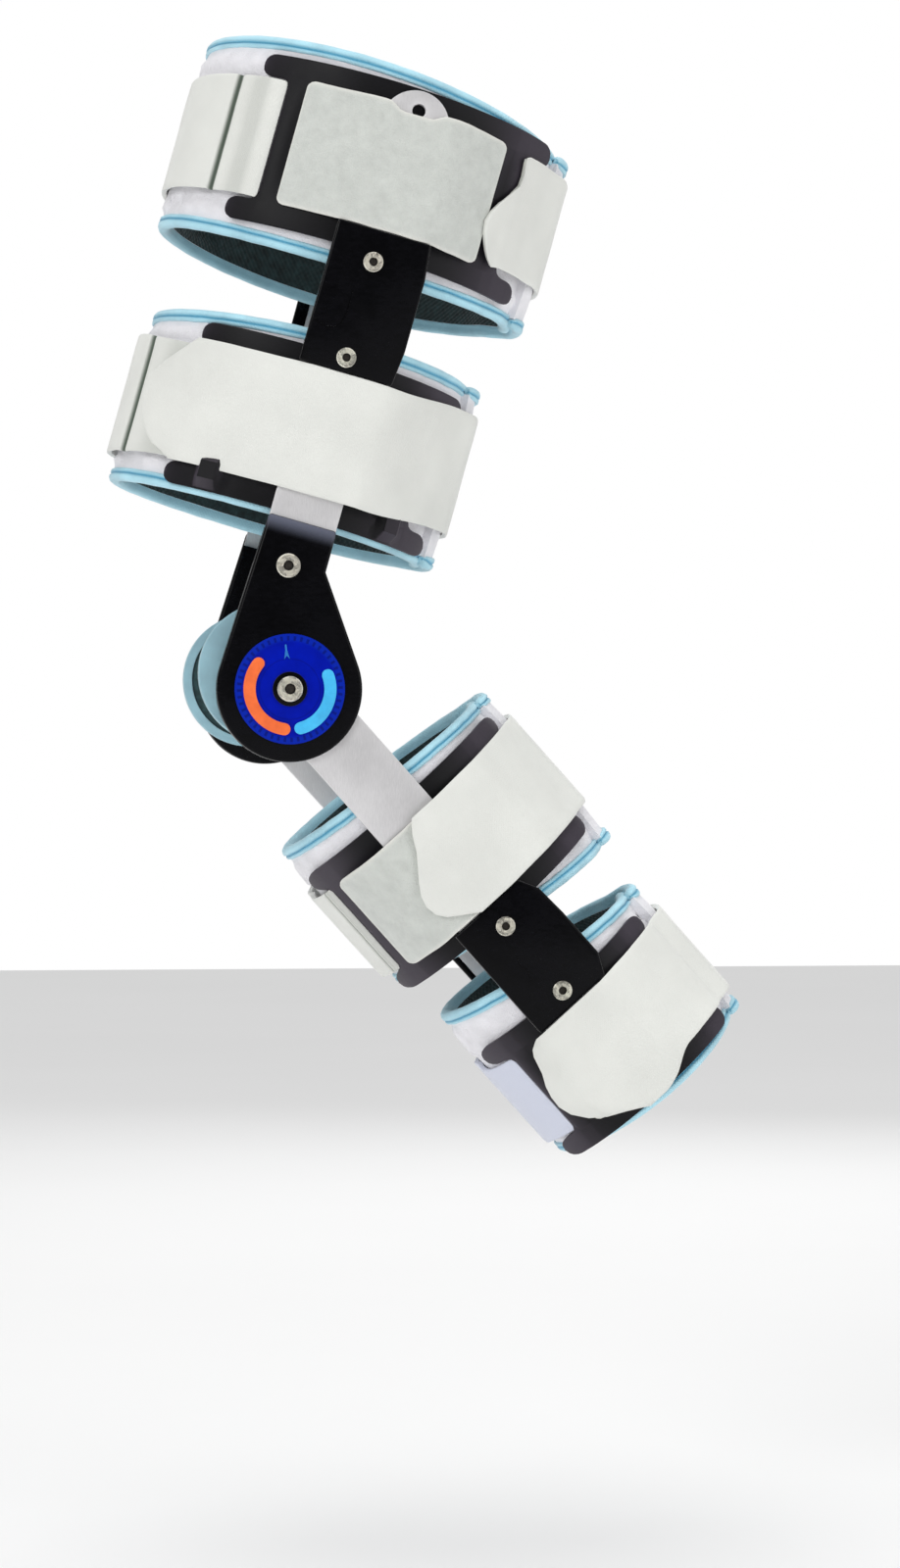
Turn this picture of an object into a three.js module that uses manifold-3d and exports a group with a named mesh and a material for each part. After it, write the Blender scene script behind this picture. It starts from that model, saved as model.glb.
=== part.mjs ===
// Post-operative hinged knee immobilizer: four padded cuffs on two side frames that turn at the knee.
// Units are millimetres, +Z is up, +X is the rear of the leg and -Y is its outer side.
// The origin lies on the flexion axis, midway between the two hinges.
import * as THREE from 'three';
import { mergeVertices } from 'three/addons/utils/BufferGeometryUtils.js';
import Module from 'manifold-3d';

const wasm = await Module();
wasm.setup();

// Pose: the limbs lean in the vertical plane, with 57.5 degrees of knee flexion between them.
// The hinge's stops let it turn from straight to FULL_FLEXION_DEG.
const THIGH_LEAN_DEG = 15.5;
const CALF_LEAN_DEG = -42;
const FULL_FLEXION_DEG = 90;

// Running clearance between neighbouring pieces.
const GAP = 0.3;

// Side bars. A bar's inner face is HINGE_HALF_WIDTH from the centre plane at the hinge, and the
// bars spread with the thigh and close in with the calf past the bend.
const BAR_WIDTH = 33;
const BAR_THICKNESS = 3;
const HINGE_HALF_WIDTH = 73.6;
const LIMBS = {
  thigh: { sign: 1, barX: -15, bendAlong: 80, spread: 0.07, barStart: 20, barEnd: 292 },
  calf: { sign: -1, barX: 0, bendAlong: 38, spread: -0.082, barStart: -17, barEnd: 250 },
};
const CALF_HEAD_RADIUS = 17;
const END_HOLE = { along: 282.5, radius: 3.2 };

// Layers on a cuff, as distances outward from the padded wall's outer face.
const WALL_THICKNESS = 5.4;
const EDGE_HEIGHT = 6;
const EDGE_PROUD = 0.3;
const PLATE_INNER = 0.6;
const PLATE_OUTER = 3.4;
const BAR_SEAT = 3.8;
const STRAP_SEAT = 0.4;
const STRAP_THICKNESS = 2.4;
const PATCH_THICKNESS = 1.5;
const RAIL_HEIGHT = 11;
const RAIL_ROUNDING = 4;

// Angles run round a cuff: 0 is the rear, -90 the outer side, -180 the front, -270 the inner side.
const STEP_DEG = 10;
const WALL_START_DEG = 5;
const FLAP_RAMP_DEG = -336;
const FLAP_TOP_DEG = -352;
const FLAP_END_DEG = -377;
const FLAP_RISE = WALL_THICKNESS + 2 * EDGE_PROUD + GAP;
const TWO_TURNS_DEG = -720;

// A strap rises and falls by STRAP_SLOPE per degree, starts narrow between the plate's horns and
// widens over WIDEN_DEG. Its tongue rounds off over TIP_DEG.
const STRAP_SLOPE = 0.3;
const WIDEN_DEG = 40;
const TIP_DEG = 7;
const PATCH_CORNER = 4;
const PATCH_CORNER_DEG = 2.5;

// Cuffs. X is measured from the flexion axis, and "along" is the distance from it down a limb's axis.
// near edges face the knee, a bow is how far that rim runs out beyond its front and rear at the sides, and
// web is the plate's middle between its upright ribs.
const CUFFS = [
  {
    name: 'upper_thigh', limb: 'thigh', centreX: -27.4, halfDepth: 91.1,
    nearFront: 206, nearRear: 205, nearBow: -3.5, farFront: 302, farRear: 294, farBow: 4,
    nearRail: 217.5, farRail: 288, plateX: [-89, 54], webX: [-76, 42],
    strapStart: [224, 281.5], strapFull: [223.6, 280], tongueX: 30.5, tongueDrop: 12,
    patch: { along: [223.6, 283.5], x: [-67, 28] },
  },
  {
    name: 'lower_thigh', limb: 'thigh', centreX: -28.4, halfDepth: 80.1,
    nearFront: 79, nearRear: 79, nearBow: 0, farFront: 166, farRear: 172, farBow: 1.5,
    nearRail: 87, farRail: 156, plateX: [-83, 45.5], webX: [-70, 34],
    strapStart: [93.5, 149.5], strapFull: [91, 154], tongueX: -97, tongueDrop: 10,
  },
  {
    name: 'upper_calf', limb: 'calf', centreX: 9.9, halfDepth: 60.9,
    nearFront: 60, nearRear: 68, nearBow: 0, farFront: 150, farRear: 166, farBow: 0,
    nearRail: 81.7, farRail: 147, plateX: [-49, 66], webX: [-44, 50],
    strapStart: [88.2, 140.5], strapFull: [85.5, 142.5], tongueX: -9, tongueDrop: 14,
    patch: { along: [87, 142], x: [-38, 42] },
  },
  {
    name: 'lower_calf', limb: 'calf', centreX: 7.9, halfDepth: 54.9,
    nearFront: 175, nearRear: 190, nearBow: 0, farFront: 268, farRear: 273, farBow: 4,
    nearRail: 203.5, farRail: 264.5, plateX: [-43.5, 54.5], webX: [-34, 41],
    strapStart: [210, 258], strapFull: [207, 261], tongueX: -27, tongueDrop: 12,
    patch: { along: [209, 264], x: [-26, 34] },
  },
];

// Hinge housing: a disc with an off-centre neck that holds the thigh bar, slotted for the calf bar.
const DISC_RADIUS = 35;
const NECK_TOP = 79;
const NECK_HALF_WIDTH = 16.8;
const FLARE_ALONG = 58.6;
const COVER_THICKNESS = 3.2;
const BACK_THICKNESS = 2.4;
const BACK_TOP = 72;
const DIAL_RADIUS = 26.5;
const DIAL_THICKNESS = 0.8;
const PIVOT_RING_RADIUS = 8.3;
const PIVOT_RIVET_RADIUS = 6.1;
const NECK_RIVET = { along: 57.4, radius: 5.8 };
const ARC_RADIUS = 19.4;
const ARC_WIDTH = 5.9;
const ARC_THICKNESS = 0.6;
const DIAL_ARCS = [
  { name: 'flexion_arc', fromDeg: 141, toDeg: 262, colour: 0xff7341 },
  { name: 'extension_arc', fromDeg: -75, toDeg: 20, colour: 0x46c3fa },
];
const PAD_CENTRE = { x: -10.8, along: 5.3 };
const PAD_RADIUS = 31.7;
const PAD_EDGE_RADIUS = 36;
const PAD_THICKNESS = 9;

// Sleeves over the bars between two cuffs, each with two rivets.
const SLEEVES = [
  { name: 'thigh_sleeve', limb: 'thigh', width: 46, from: 155.2, to: 222.6, rivets: [161.3, 208.5] },
  { name: 'calf_sleeve', limb: 'calf', width: 43, from: 143.6, to: 205.6, rivets: [155, 198] },
];
const SLEEVE_THICKNESS = 2.4;
const SLEEVE_WALL = 2.2;
const SLEEVE_RIVET_RADIUS = 4.75;
const RIVET_HEIGHT = 1.6;

const SIDES = [{ name: 'outer', sign: -1 }, { name: 'inner', sign: 1 }];

const MATERIALS = {
  fleece: { color: 0xe6e4eb, roughness: 0.95, metalness: 0 },
  binding: { color: 0x96d7f0, roughness: 0.85, metalness: 0 },
  webbing: { color: 0xe4e6e0, roughness: 0.8, metalness: 0 },
  felt: { color: 0xcdd2cb, roughness: 1, metalness: 0 },
  plastic: { color: 0x141316, roughness: 0.45, metalness: 0 },
  gloss: { color: 0x0a0a0c, roughness: 0.2, metalness: 0 },
  aluminium: { color: 0xcdcbcd, roughness: 0.35, metalness: 1 },
  rivet: { color: 0xe8e2cc, roughness: 0.3, metalness: 1 },
  dial: { color: 0x0a1eb4, roughness: 0.35, metalness: 0 },
  foam: { color: 0x24282c, roughness: 0.95, metalness: 0 },
};

const radians = THREE.MathUtils.degToRad;
const mix = THREE.MathUtils.lerp;

// Bodies from triangles, always facing out.
function bodyFromTriangles(triangles) {
  let volume = 0;
  for (const [a, b, c] of triangles) {
    volume += a.dot(new THREE.Vector3().crossVectors(b, c));
  }
  const positions = [];
  for (const [a, b, c] of triangles) {
    const corners = volume > 0 ? [a, b, c] : [a, c, b];
    for (const corner of corners) positions.push(corner.x, corner.y, corner.z);
  }
  const geometry = new THREE.BufferGeometry();
  geometry.setAttribute('position', new THREE.Float32BufferAttribute(positions, 3));
  geometry.computeVertexNormals();
  return geometry;
}

function quad(triangles, a, b, c, d) {
  triangles.push([a, b, c], [a, c, d]);
}

// A solid through a row of matching closed loops, capped at both ends.
function loft(loops) {
  const triangles = [];
  const count = loops[0].length;
  for (let i = 0; i + 1 < loops.length; i += 1) {
    for (let k = 0; k < count; k += 1) {
      const next = (k + 1) % count;
      quad(triangles, loops[i][k], loops[i][next], loops[i + 1][next], loops[i + 1][k]);
    }
  }
  const first = loops[0];
  const last = loops[loops.length - 1];
  for (const [a, b, c] of capTriangles(first)) {
    triangles.push([first[c], first[b], first[a]]);
    triangles.push([last[a], last[b], last[c]]);
  }
  return bodyFromTriangles(triangles);
}

// Triangles over one loop, worked out in the plane that the loop covers best.
function capTriangles(loop) {
  const normal = new THREE.Vector3();
  loop.forEach((point, i) => {
    normal.add(new THREE.Vector3().crossVectors(point, loop[(i + 1) % loop.length]));
  });
  const u = new THREE.Vector3().subVectors(loop[1], loop[0]).normalize();
  const v = new THREE.Vector3().crossVectors(normal, u).normalize();
  const flat = loop.map((point) => new THREE.Vector2(point.dot(u), point.dot(v)));
  return THREE.ShapeUtils.triangulateShape(flat, []);
}

// A curved sheet: a grid of inner and outer points, solid only in the cells that are filled.
function sheetFromCells(grid, filled) {
  const triangles = [];
  const has = (i, j) => i >= 0 && j >= 0 && i + 1 < grid.length && j + 1 < grid[0].length && filled(i, j);
  for (let i = 0; i + 1 < grid.length; i += 1) {
    for (let j = 0; j + 1 < grid[0].length; j += 1) {
      if (!has(i, j)) continue;
      const corners = [grid[i][j], grid[i + 1][j], grid[i + 1][j + 1], grid[i][j + 1]];
      const beside = [has(i, j - 1), has(i + 1, j), has(i, j + 1), has(i - 1, j)];
      quad(triangles, ...corners.map((corner) => corner.outer));
      quad(triangles, ...corners.map((corner) => corner.inner).reverse());
      beside.forEach((joined, k) => {
        if (joined) return;
        const a = corners[k];
        const b = corners[(k + 1) % 4];
        quad(triangles, a.outer, a.inner, b.inner, b.outer);
      });
    }
  }
  return bodyFromTriangles(triangles);
}

// manifold-3d solids, for the cuts.
function toSolid(geometry) {
  const bare = geometry.clone();
  bare.deleteAttribute('normal');
  bare.deleteAttribute('uv');
  const merged = mergeVertices(bare, 1e-4);
  return new wasm.Manifold(new wasm.Mesh({
    numProp: 3,
    vertProperties: new Float32Array(merged.attributes.position.array),
    triVerts: new Uint32Array(merged.index.array),
  }));
}

function fromSolid(solid) {
  const mesh = solid.getMesh();
  const geometry = new THREE.BufferGeometry();
  geometry.setAttribute('position', new THREE.BufferAttribute(mesh.vertProperties, 3));
  geometry.setIndex(new THREE.BufferAttribute(mesh.triVerts, 1));
  const flat = geometry.toNonIndexed();
  flat.computeVertexNormals();
  return flat;
}

// A shape drawn in x and along, given thickness between two distances from the centre plane.
function slab(points, from, to, side, sign = 1) {
  const loops = [from, to].map((distance) => points.map(
    ([x, along]) => new THREE.Vector3(x, side.sign * distance, sign * along),
  ));
  return loft(loops);
}

function circlePoints(centreX, centreAlong, radius, count) {
  return Array.from({ length: count }, (_, i) => {
    const angle = (2 * Math.PI * i) / count;
    return [centreX + radius * Math.cos(angle), centreAlong + radius * Math.sin(angle)];
  });
}

// Distance of a bar's inner face from the centre plane, at a distance along its limb.
function barInner(limb, along) {
  return HINGE_HALF_WIDTH + limb.spread * Math.max(0, along - limb.bendAlong);
}

function barOuter(limb, along) {
  return barInner(limb, along) + BAR_THICKNESS;
}

// The cuff's section is an ellipse whose sides follow the bars.
function ellipsePoint(cuff, angleDeg, offset, along) {
  const limb = LIMBS[cuff.limb];
  const halfWidth = barInner(limb, along) - BAR_SEAT;
  const cos = Math.cos(radians(angleDeg));
  const sin = Math.sin(radians(angleDeg));
  const normal = new THREE.Vector2(halfWidth * cos, cuff.halfDepth * sin).normalize();
  return new THREE.Vector3(
    cuff.centreX + cuff.halfDepth * cos + normal.x * offset,
    halfWidth * sin + normal.y * offset,
    limb.sign * along,
  );
}

// A point over the cuff's flat facets, so that every layer shares them.
function cuffPoint(cuff, angleDeg, offset, along) {
  const low = Math.floor(angleDeg / STEP_DEG) * STEP_DEG;
  const share = (angleDeg - low) / STEP_DEG;
  const a = ellipsePoint(cuff, low, offset, along);
  return a.lerp(ellipsePoint(cuff, low + STEP_DEG, offset, along), share);
}

// Angles from start down to end, with each facet's corner between them and any extra ones.
function stations(startDeg, endDeg, extra = []) {
  const list = [startDeg, endDeg, ...extra.filter((angle) => angle < startDeg && angle > endDeg)];
  for (let angle = Math.ceil(endDeg / STEP_DEG) * STEP_DEG; angle < startDeg; angle += STEP_DEG) {
    list.push(angle);
  }
  list.sort((a, b) => b - a);
  return list.filter((angle, i) => i === 0 || list[i - 1] - angle > 0.4);
}

// The angle on a cuff's outer side (0 to -180) at which its wall has a given x.
function outerAngle(cuff, x) {
  return -THREE.MathUtils.radToDeg(Math.acos((x - cuff.centreX) / cuff.halfDepth));
}

function rangeAngles(cuff, [fromX, toX]) {
  return [outerAngle(cuff, toX), outerAngle(cuff, fromX)];
}

function edgeAlong(cuff, angleDeg, which) {
  const turn = radians(angleDeg);
  const rearShare = (1 + Math.cos(turn)) / 2;
  return mix(cuff[`${which}Front`], cuff[`${which}Rear`], rearShare) + cuff[`${which}Bow`] * Math.sin(turn) ** 2;
}

// How far the padded wall has risen where its free end laps over its start.
function wallOffset(angleDeg) {
  return FLAP_RISE * THREE.MathUtils.smoothstep(-angleDeg, -FLAP_RAMP_DEG, -FLAP_TOP_DEG);
}

function ring(cuff, innerOffset, outerOffset, alongPair) {
  const loops = stations(WALL_START_DEG, FLAP_END_DEG, [FLAP_RAMP_DEG, FLAP_TOP_DEG]).map((angle) => {
    const lift = wallOffset(angle);
    const [near, far] = alongPair(angle);
    return [
      cuffPoint(cuff, angle, innerOffset + lift, near),
      cuffPoint(cuff, angle, outerOffset + lift, near),
      cuffPoint(cuff, angle, outerOffset + lift, far),
      cuffPoint(cuff, angle, innerOffset + lift, far),
    ];
  });
  return loft(loops);
}

function wrapBody(cuff) {
  const margin = EDGE_HEIGHT + GAP;
  return ring(cuff, -WALL_THICKNESS, 0, (angle) => [
    edgeAlong(cuff, angle, 'near') + margin,
    edgeAlong(cuff, angle, 'far') - margin,
  ]);
}

function edgeBody(cuff, which) {
  const inward = which === 'near' ? EDGE_HEIGHT : -EDGE_HEIGHT;
  return ring(cuff, -WALL_THICKNESS - EDGE_PROUD, EDGE_PROUD, (angle) => {
    const rim = edgeAlong(cuff, angle, which);
    return [rim, rim + inward];
  });
}

// A plate's section at one angle: two rails whose ends are rounded, and the web between them.
function plateColumn(cuff, angle, endShare, side) {
  const cut = RAIL_ROUNDING * endShare;
  const half = RAIL_HEIGHT / 2;
  const rows = [
    cuff.nearRail - half + cut, cuff.nearRail + half - cut,
    cuff.farRail - half + cut, cuff.farRail + half - cut,
  ];
  return rows.map((along) => {
    const inner = cuffPoint(cuff, angle, PLATE_INNER, along);
    const outer = cuffPoint(cuff, angle, PLATE_OUTER, along);
    if (side.sign > 0) {
      inner.y *= -1;
      outer.y *= -1;
    }
    return { inner, outer };
  });
}

function plateBody(cuff, side) {
  const [plateStart, plateEnd] = rangeAngles(cuff, cuff.plateX);
  const [webStart, webEnd] = rangeAngles(cuff, cuff.webX);
  const rounding = THREE.MathUtils.radToDeg(RAIL_ROUNDING / cuff.halfDepth);
  const angles = stations(plateStart, plateEnd, [
    plateStart - rounding, plateEnd + rounding, webStart, webEnd,
  ]);
  const grid = angles.map((angle, i) => {
    const atEnd = i === 0 || i === angles.length - 1;
    return plateColumn(cuff, angle, atEnd ? 1 : 0, side);
  });
  const inWeb = (i) => angles[i] <= webStart + 0.5 && angles[i + 1] >= webEnd - 0.5;
  return sheetFromCells(grid, (i, j) => j !== 1 || inWeb(i));
}

// What a band has to clear at one angle: the bar's flat face, on either side of the leg.
function barClearance(cuff, angleDeg, along, extra) {
  const limb = LIMBS[cuff.limb];
  const reach = BAR_WIDTH / 2 + 1;
  const base = ellipsePoint(cuff, angleDeg, 0, along);
  const shifted = ellipsePoint(cuff, angleDeg, 1, along);
  const slopeY = Math.abs(shifted.y - base.y);
  const level = barOuter(limb, along) + extra;
  if (Math.abs(base.x - limb.barX) > reach + 0.01 || slopeY < 0.5) return 0;
  return (level - Math.abs(base.y)) / slopeY;
}

function barEdgeAngles(cuff) {
  const { barX } = LIMBS[cuff.limb];
  const reach = BAR_WIDTH / 2 + 1;
  const outer = [outerAngle(cuff, barX + reach), outerAngle(cuff, barX - reach)];
  return [...outer, ...outer.map((angle) => angle - 360), ...outer.map((angle) => -360 - angle)];
}

// A taut band's offset: it stands on the highest thing near it and falls away at an even slope.
function tautOffset(cuff, angleDeg, along, needs, extra) {
  let offset = 0;
  for (const need of needs) {
    const beyond = Math.max(0, angleDeg - need.from, need.to - angleDeg);
    const reach = Math.max(0, beyond - STEP_DEG);
    offset = Math.max(offset, need.level - STRAP_SLOPE * reach);
  }
  const here = barClearance(cuff, angleDeg, along, extra);
  const edges = barEdgeAngles(cuff).map((edge) => (
    barClearance(cuff, edge, along, extra) - STRAP_SLOPE * Math.abs(edge - angleDeg)
  ));
  return Math.max(offset, here, ...edges);
}

function patchOffset(cuff, angleDeg, along) {
  const [from, to] = rangeAngles(cuff, cuff.plateX);
  const needs = [{ from, to, level: PLATE_OUTER + GAP }];
  return tautOffset(cuff, angleDeg, along, needs, GAP);
}

function patchBody(cuff) {
  const [start, end] = rangeAngles(cuff, cuff.patch.x);
  const [near, far] = cuff.patch.along;
  const corners = [start - PATCH_CORNER_DEG, end + PATCH_CORNER_DEG];
  const angles = stations(start, end, [...corners, ...barEdgeAngles(cuff)]);
  const loops = angles.map((angle, i) => {
    const cut = i === 0 || i === angles.length - 1 ? PATCH_CORNER : 0;
    return [near + cut, far - cut].flatMap((along, k) => {
      const offset = patchOffset(cuff, angle, along);
      const pair = [
        cuffPoint(cuff, angle, offset, along),
        cuffPoint(cuff, angle, offset + PATCH_THICKNESS, along),
      ];
      return k === 0 ? pair : pair.reverse();
    });
  });
  return loft(loops);
}

// Everything that the strap passes over, from its start at the front of the outer plate.
function strapNeeds(cuff) {
  const [plateFrom, plateTo] = rangeAngles(cuff, cuff.plateX);
  const over = PLATE_OUTER + STRAP_SEAT;
  const overStrap = 2 * STRAP_SEAT + STRAP_THICKNESS + 1;
  return [
    { from: 0, to: TWO_TURNS_DEG, level: STRAP_SEAT },
    { from: FLAP_RAMP_DEG, to: FLAP_END_DEG, level: FLAP_RISE + STRAP_SEAT },
    { from: -360 - plateTo, to: -360 - plateFrom, level: over },
    { from: plateFrom - 360, to: plateTo - 360, level: over },
    { from: strapStart(cuff) - 360, to: TWO_TURNS_DEG, level: overStrap },
  ];
}

function strapStart(cuff) {
  return outerAngle(cuff, cuff.webX[0] - GAP - 0.4);
}

function strapOffset(cuff, angleDeg, along) {
  const base = tautOffset(cuff, angleDeg, along, strapNeeds(cuff), STRAP_SEAT);
  const [start, end] = cuff.patch ? rangeAngles(cuff, cuff.patch.x) : [0, 0];
  const lapAngle = angleDeg + 360;
  const onPatch = cuff.patch && lapAngle < start + STEP_DEG && lapAngle > end - STEP_DEG;
  if (!onPatch || angleDeg > -360) return base;
  return Math.max(base, patchOffset(cuff, lapAngle, along) + PATCH_THICKNESS + STRAP_SEAT);
}

function strapBody(cuff) {
  const start = strapStart(cuff);
  const end = outerAngle(cuff, cuff.tongueX) - 360;
  const hornEnd = outerAngle(cuff, cuff.plateX[0]) - 2;
  const tipAngles = [end + TIP_DEG, end + TIP_DEG / 3];
  const angles = stations(start, end, [hornEnd, ...tipAngles, ...barEdgeAngles(cuff)]);
  const loops = angles.map((angle) => {
    const widened = THREE.MathUtils.smoothstep(hornEnd - angle, 0, WIDEN_DEG);
    const toTip = THREE.MathUtils.clamp((end + TIP_DEG - angle) / TIP_DEG, 0, 1);
    const cut = cuff.tongueDrop * (1 - Math.sqrt(1 - toTip * toTip));
    const near = mix(cuff.strapStart[0], cuff.strapFull[0], widened) + cut;
    const far = mix(cuff.strapStart[1], cuff.strapFull[1], widened) - cut;
    return [near, far].flatMap((along, k) => {
      const betweenHorns = angle > hornEnd - STEP_DEG;
      const offset = betweenHorns ? STRAP_SEAT : strapOffset(cuff, angle, along);
      const pair = [
        cuffPoint(cuff, angle, offset, along),
        cuffPoint(cuff, angle, offset + STRAP_THICKNESS, along),
      ];
      return k === 0 ? pair : pair.reverse();
    });
  });
  return loft(loops);
}

// A flat bar with a round far end, following its limb's bend.
function barRows(limb) {
  const half = BAR_WIDTH / 2;
  const rows = [];
  if (limb.barStart < 0) {
    for (const angle of [-75, -50, -25, 0]) {
      rows.push({
        along: CALF_HEAD_RADIUS * Math.sin(radians(angle)),
        half: CALF_HEAD_RADIUS * Math.cos(radians(angle)),
      });
    }
    rows.push({ along: 6, half });
  } else {
    rows.push({ along: limb.barStart, half });
  }
  rows.push({ along: limb.bendAlong, half });
  for (const angle of [0, 25, 50, 75]) {
    rows.push({
      along: limb.barEnd - half * (1 - Math.sin(radians(angle)) / Math.sin(radians(75))),
      half: half * Math.cos(radians(angle)),
    });
  }
  return rows;
}

function barBody(limb, side) {
  const loops = barRows(limb).map((row) => {
    const inner = side.sign * barInner(limb, row.along);
    const outer = side.sign * barOuter(limb, row.along);
    const z = limb.sign * row.along;
    return [
      new THREE.Vector3(limb.barX - row.half, inner, z),
      new THREE.Vector3(limb.barX + row.half, inner, z),
      new THREE.Vector3(limb.barX + row.half, outer, z),
      new THREE.Vector3(limb.barX - row.half, outer, z),
    ];
  });
  const body = loft(loops);
  if (limb !== LIMBS.thigh) return body;
  const hole = circlePoints(limb.barX, END_HOLE.along, END_HOLE.radius, 12);
  const drill = slab(hole, HINGE_HALF_WIDTH, HINGE_HALF_WIDTH + 40, side);
  return fromSolid(toSolid(body).subtract(toSolid(drill)));
}

// A channel that caps the bar: a flat face with a lip down each side.
function sleeveBody(sleeve, side) {
  const limb = LIMBS[sleeve.limb];
  const half = sleeve.width / 2;
  const hollow = BAR_WIDTH / 2 + GAP;
  const loops = [sleeve.from, sleeve.to].map((along) => {
    const foot = barInner(limb, along);
    const ceiling = barOuter(limb, along) + GAP;
    const top = ceiling + SLEEVE_THICKNESS;
    const section = [
      [-half, foot], [-hollow, foot], [-hollow, ceiling], [hollow, ceiling],
      [hollow, foot], [half, foot], [half, top - 1], [half - SLEEVE_WALL, top],
      [SLEEVE_WALL - half, top], [-half, top - 1],
    ];
    return section.map(([x, y]) => (
      new THREE.Vector3(limb.barX + x, side.sign * y, limb.sign * along)
    ));
  });
  return loft(loops);
}

// Teardrop outline of the housing, starting at the neck's front corner.
function housingOutline() {
  const { barX } = LIMBS.thigh;
  const neckFront = barX - NECK_HALF_WIDTH;
  const neckRear = barX + NECK_HALF_WIDTH;
  const frontTangent = tangentAngle(neckFront, NECK_TOP, 1);
  const rearTangent = tangentAngle(neckRear, FLARE_ALONG, -1);
  const points = [[neckRear, FLARE_ALONG], [neckRear, NECK_TOP], [neckFront, NECK_TOP]];
  const turns = 26;
  for (let i = 0; i <= turns; i += 1) {
    const angle = mix(frontTangent, rearTangent + 2 * Math.PI, i / turns);
    points.push([DISC_RADIUS * Math.cos(angle), DISC_RADIUS * Math.sin(angle)]);
  }
  return points;
}

// Where a line from a point touches the disc; turn picks the side.
function tangentAngle(x, along, turn) {
  const distance = Math.hypot(x, along);
  return Math.atan2(along, x) + turn * Math.acos(DISC_RADIUS / distance);
}

function housingBody(side) {
  const slotInner = HINGE_HALF_WIDTH - GAP;
  const slotOuter = HINGE_HALF_WIDTH + BAR_THICKNESS + GAP;
  let body = toSolid(slab(housingOutline(), slotInner - BACK_THICKNESS, slotOuter + COVER_THICKNESS, side));
  const barHalf = BAR_WIDTH / 2 + GAP;
  const { barX, barStart } = LIMBS.thigh;
  const neckSlot = [
    [barX - barHalf - 1, barStart - GAP], [barX + barHalf + 1, barStart - GAP],
    [barX + barHalf + 1, NECK_TOP + 5], [barX - barHalf - 1, NECK_TOP + 5],
  ];
  const backTop = neckSlot.map(([x, along], i) => [x, i < 2 ? BACK_TOP : along]);
  const hub = circlePoints(0, 0, CALF_HEAD_RADIUS + 2 * GAP, 24);
  const cuts = [
    slab(neckSlot, slotInner, slotOuter, side),
    slab(backTop, slotInner - BACK_THICKNESS - 1, slotInner + 1, side),
    slab(hub, slotInner, slotOuter, side),
  ];
  const swing = 8;
  for (let i = 0; i <= swing; i += 1) {
    const angle = radians(mix(1, -FULL_FLEXION_DEG - 1, i / swing));
    const corners = [[-barHalf, 0], [barHalf, 0], [barHalf, -60], [-barHalf, -60]];
    const turned = corners.map(([x, z]) => [
      x * Math.cos(angle) + z * Math.sin(angle), z * Math.cos(angle) - x * Math.sin(angle),
    ]);
    cuts.push(slab(turned, slotInner, slotOuter, side));
  }
  for (const cut of cuts) body = body.subtract(toSolid(cut));
  return fromSolid(body);
}

const HOUSING_FACE = HINGE_HALF_WIDTH + BAR_THICKNESS + GAP + COVER_THICKNESS;
const DIAL_FACE = HOUSING_FACE + GAP + DIAL_THICKNESS;

// Dial angles are counted from the level, as they are seen with the thigh at its lean.
function dialPoint(radius, degrees) {
  const angle = radians(degrees + THIGH_LEAN_DEG);
  return [radius * Math.cos(angle), radius * Math.sin(angle)];
}

function arcBody(arc, side) {
  const steps = 10;
  const inner = [];
  const outer = [];
  const endRound = THREE.MathUtils.radToDeg(ARC_WIDTH / 2 / ARC_RADIUS);
  for (let i = 0; i <= steps; i += 1) {
    const degrees = mix(arc.fromDeg, arc.toDeg, i / steps);
    inner.push(dialPoint(ARC_RADIUS - ARC_WIDTH / 2, degrees));
    outer.push(dialPoint(ARC_RADIUS + ARC_WIDTH / 2, degrees));
  }
  const lastTip = dialPoint(ARC_RADIUS, arc.toDeg + endRound);
  const firstTip = dialPoint(ARC_RADIUS, arc.fromDeg - endRound);
  const outline = [...outer, lastTip, ...inner.reverse(), firstTip];
  return slab(outline, DIAL_FACE + GAP, DIAL_FACE + GAP + ARC_THICKNESS, side);
}

// A low rivet head with a chamfered rim, standing on a face that may lean with its limb.
function rivetBody(x, along, radius, base, height, side, limb, sides = 12) {
  const lean = limb && along > limb.bendAlong ? limb.spread : 0;
  const sign = limb ? limb.sign : 1;
  const tiers = [[radius, 0], [radius, height * 0.5], [radius * 0.72, height]];
  return loft(tiers.map(([r, up]) => circlePoints(0, 0, r, sides).map(([dx, dz]) => (
    new THREE.Vector3(x + dx, side.sign * (base + up + lean * dz), sign * (along + dz))
  ))));
}

function ringBody(centre, innerRadius, outerRadius, from, to, side) {
  const count = 28;
  const outer = toSolid(slab(circlePoints(centre.x, centre.along, outerRadius, count), from, to, side));
  const inner = circlePoints(centre.x, centre.along, innerRadius, count);
  return fromSolid(outer.subtract(toSolid(slab(inner, from - 5, to + 5, side))));
}

function addMesh(group, name, geometry, look) {
  const settings = typeof look === 'string' ? MATERIALS[look] : look;
  const mesh = new THREE.Mesh(geometry, new THREE.MeshStandardMaterial(settings));
  mesh.name = name;
  group.add(mesh);
}

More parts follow.
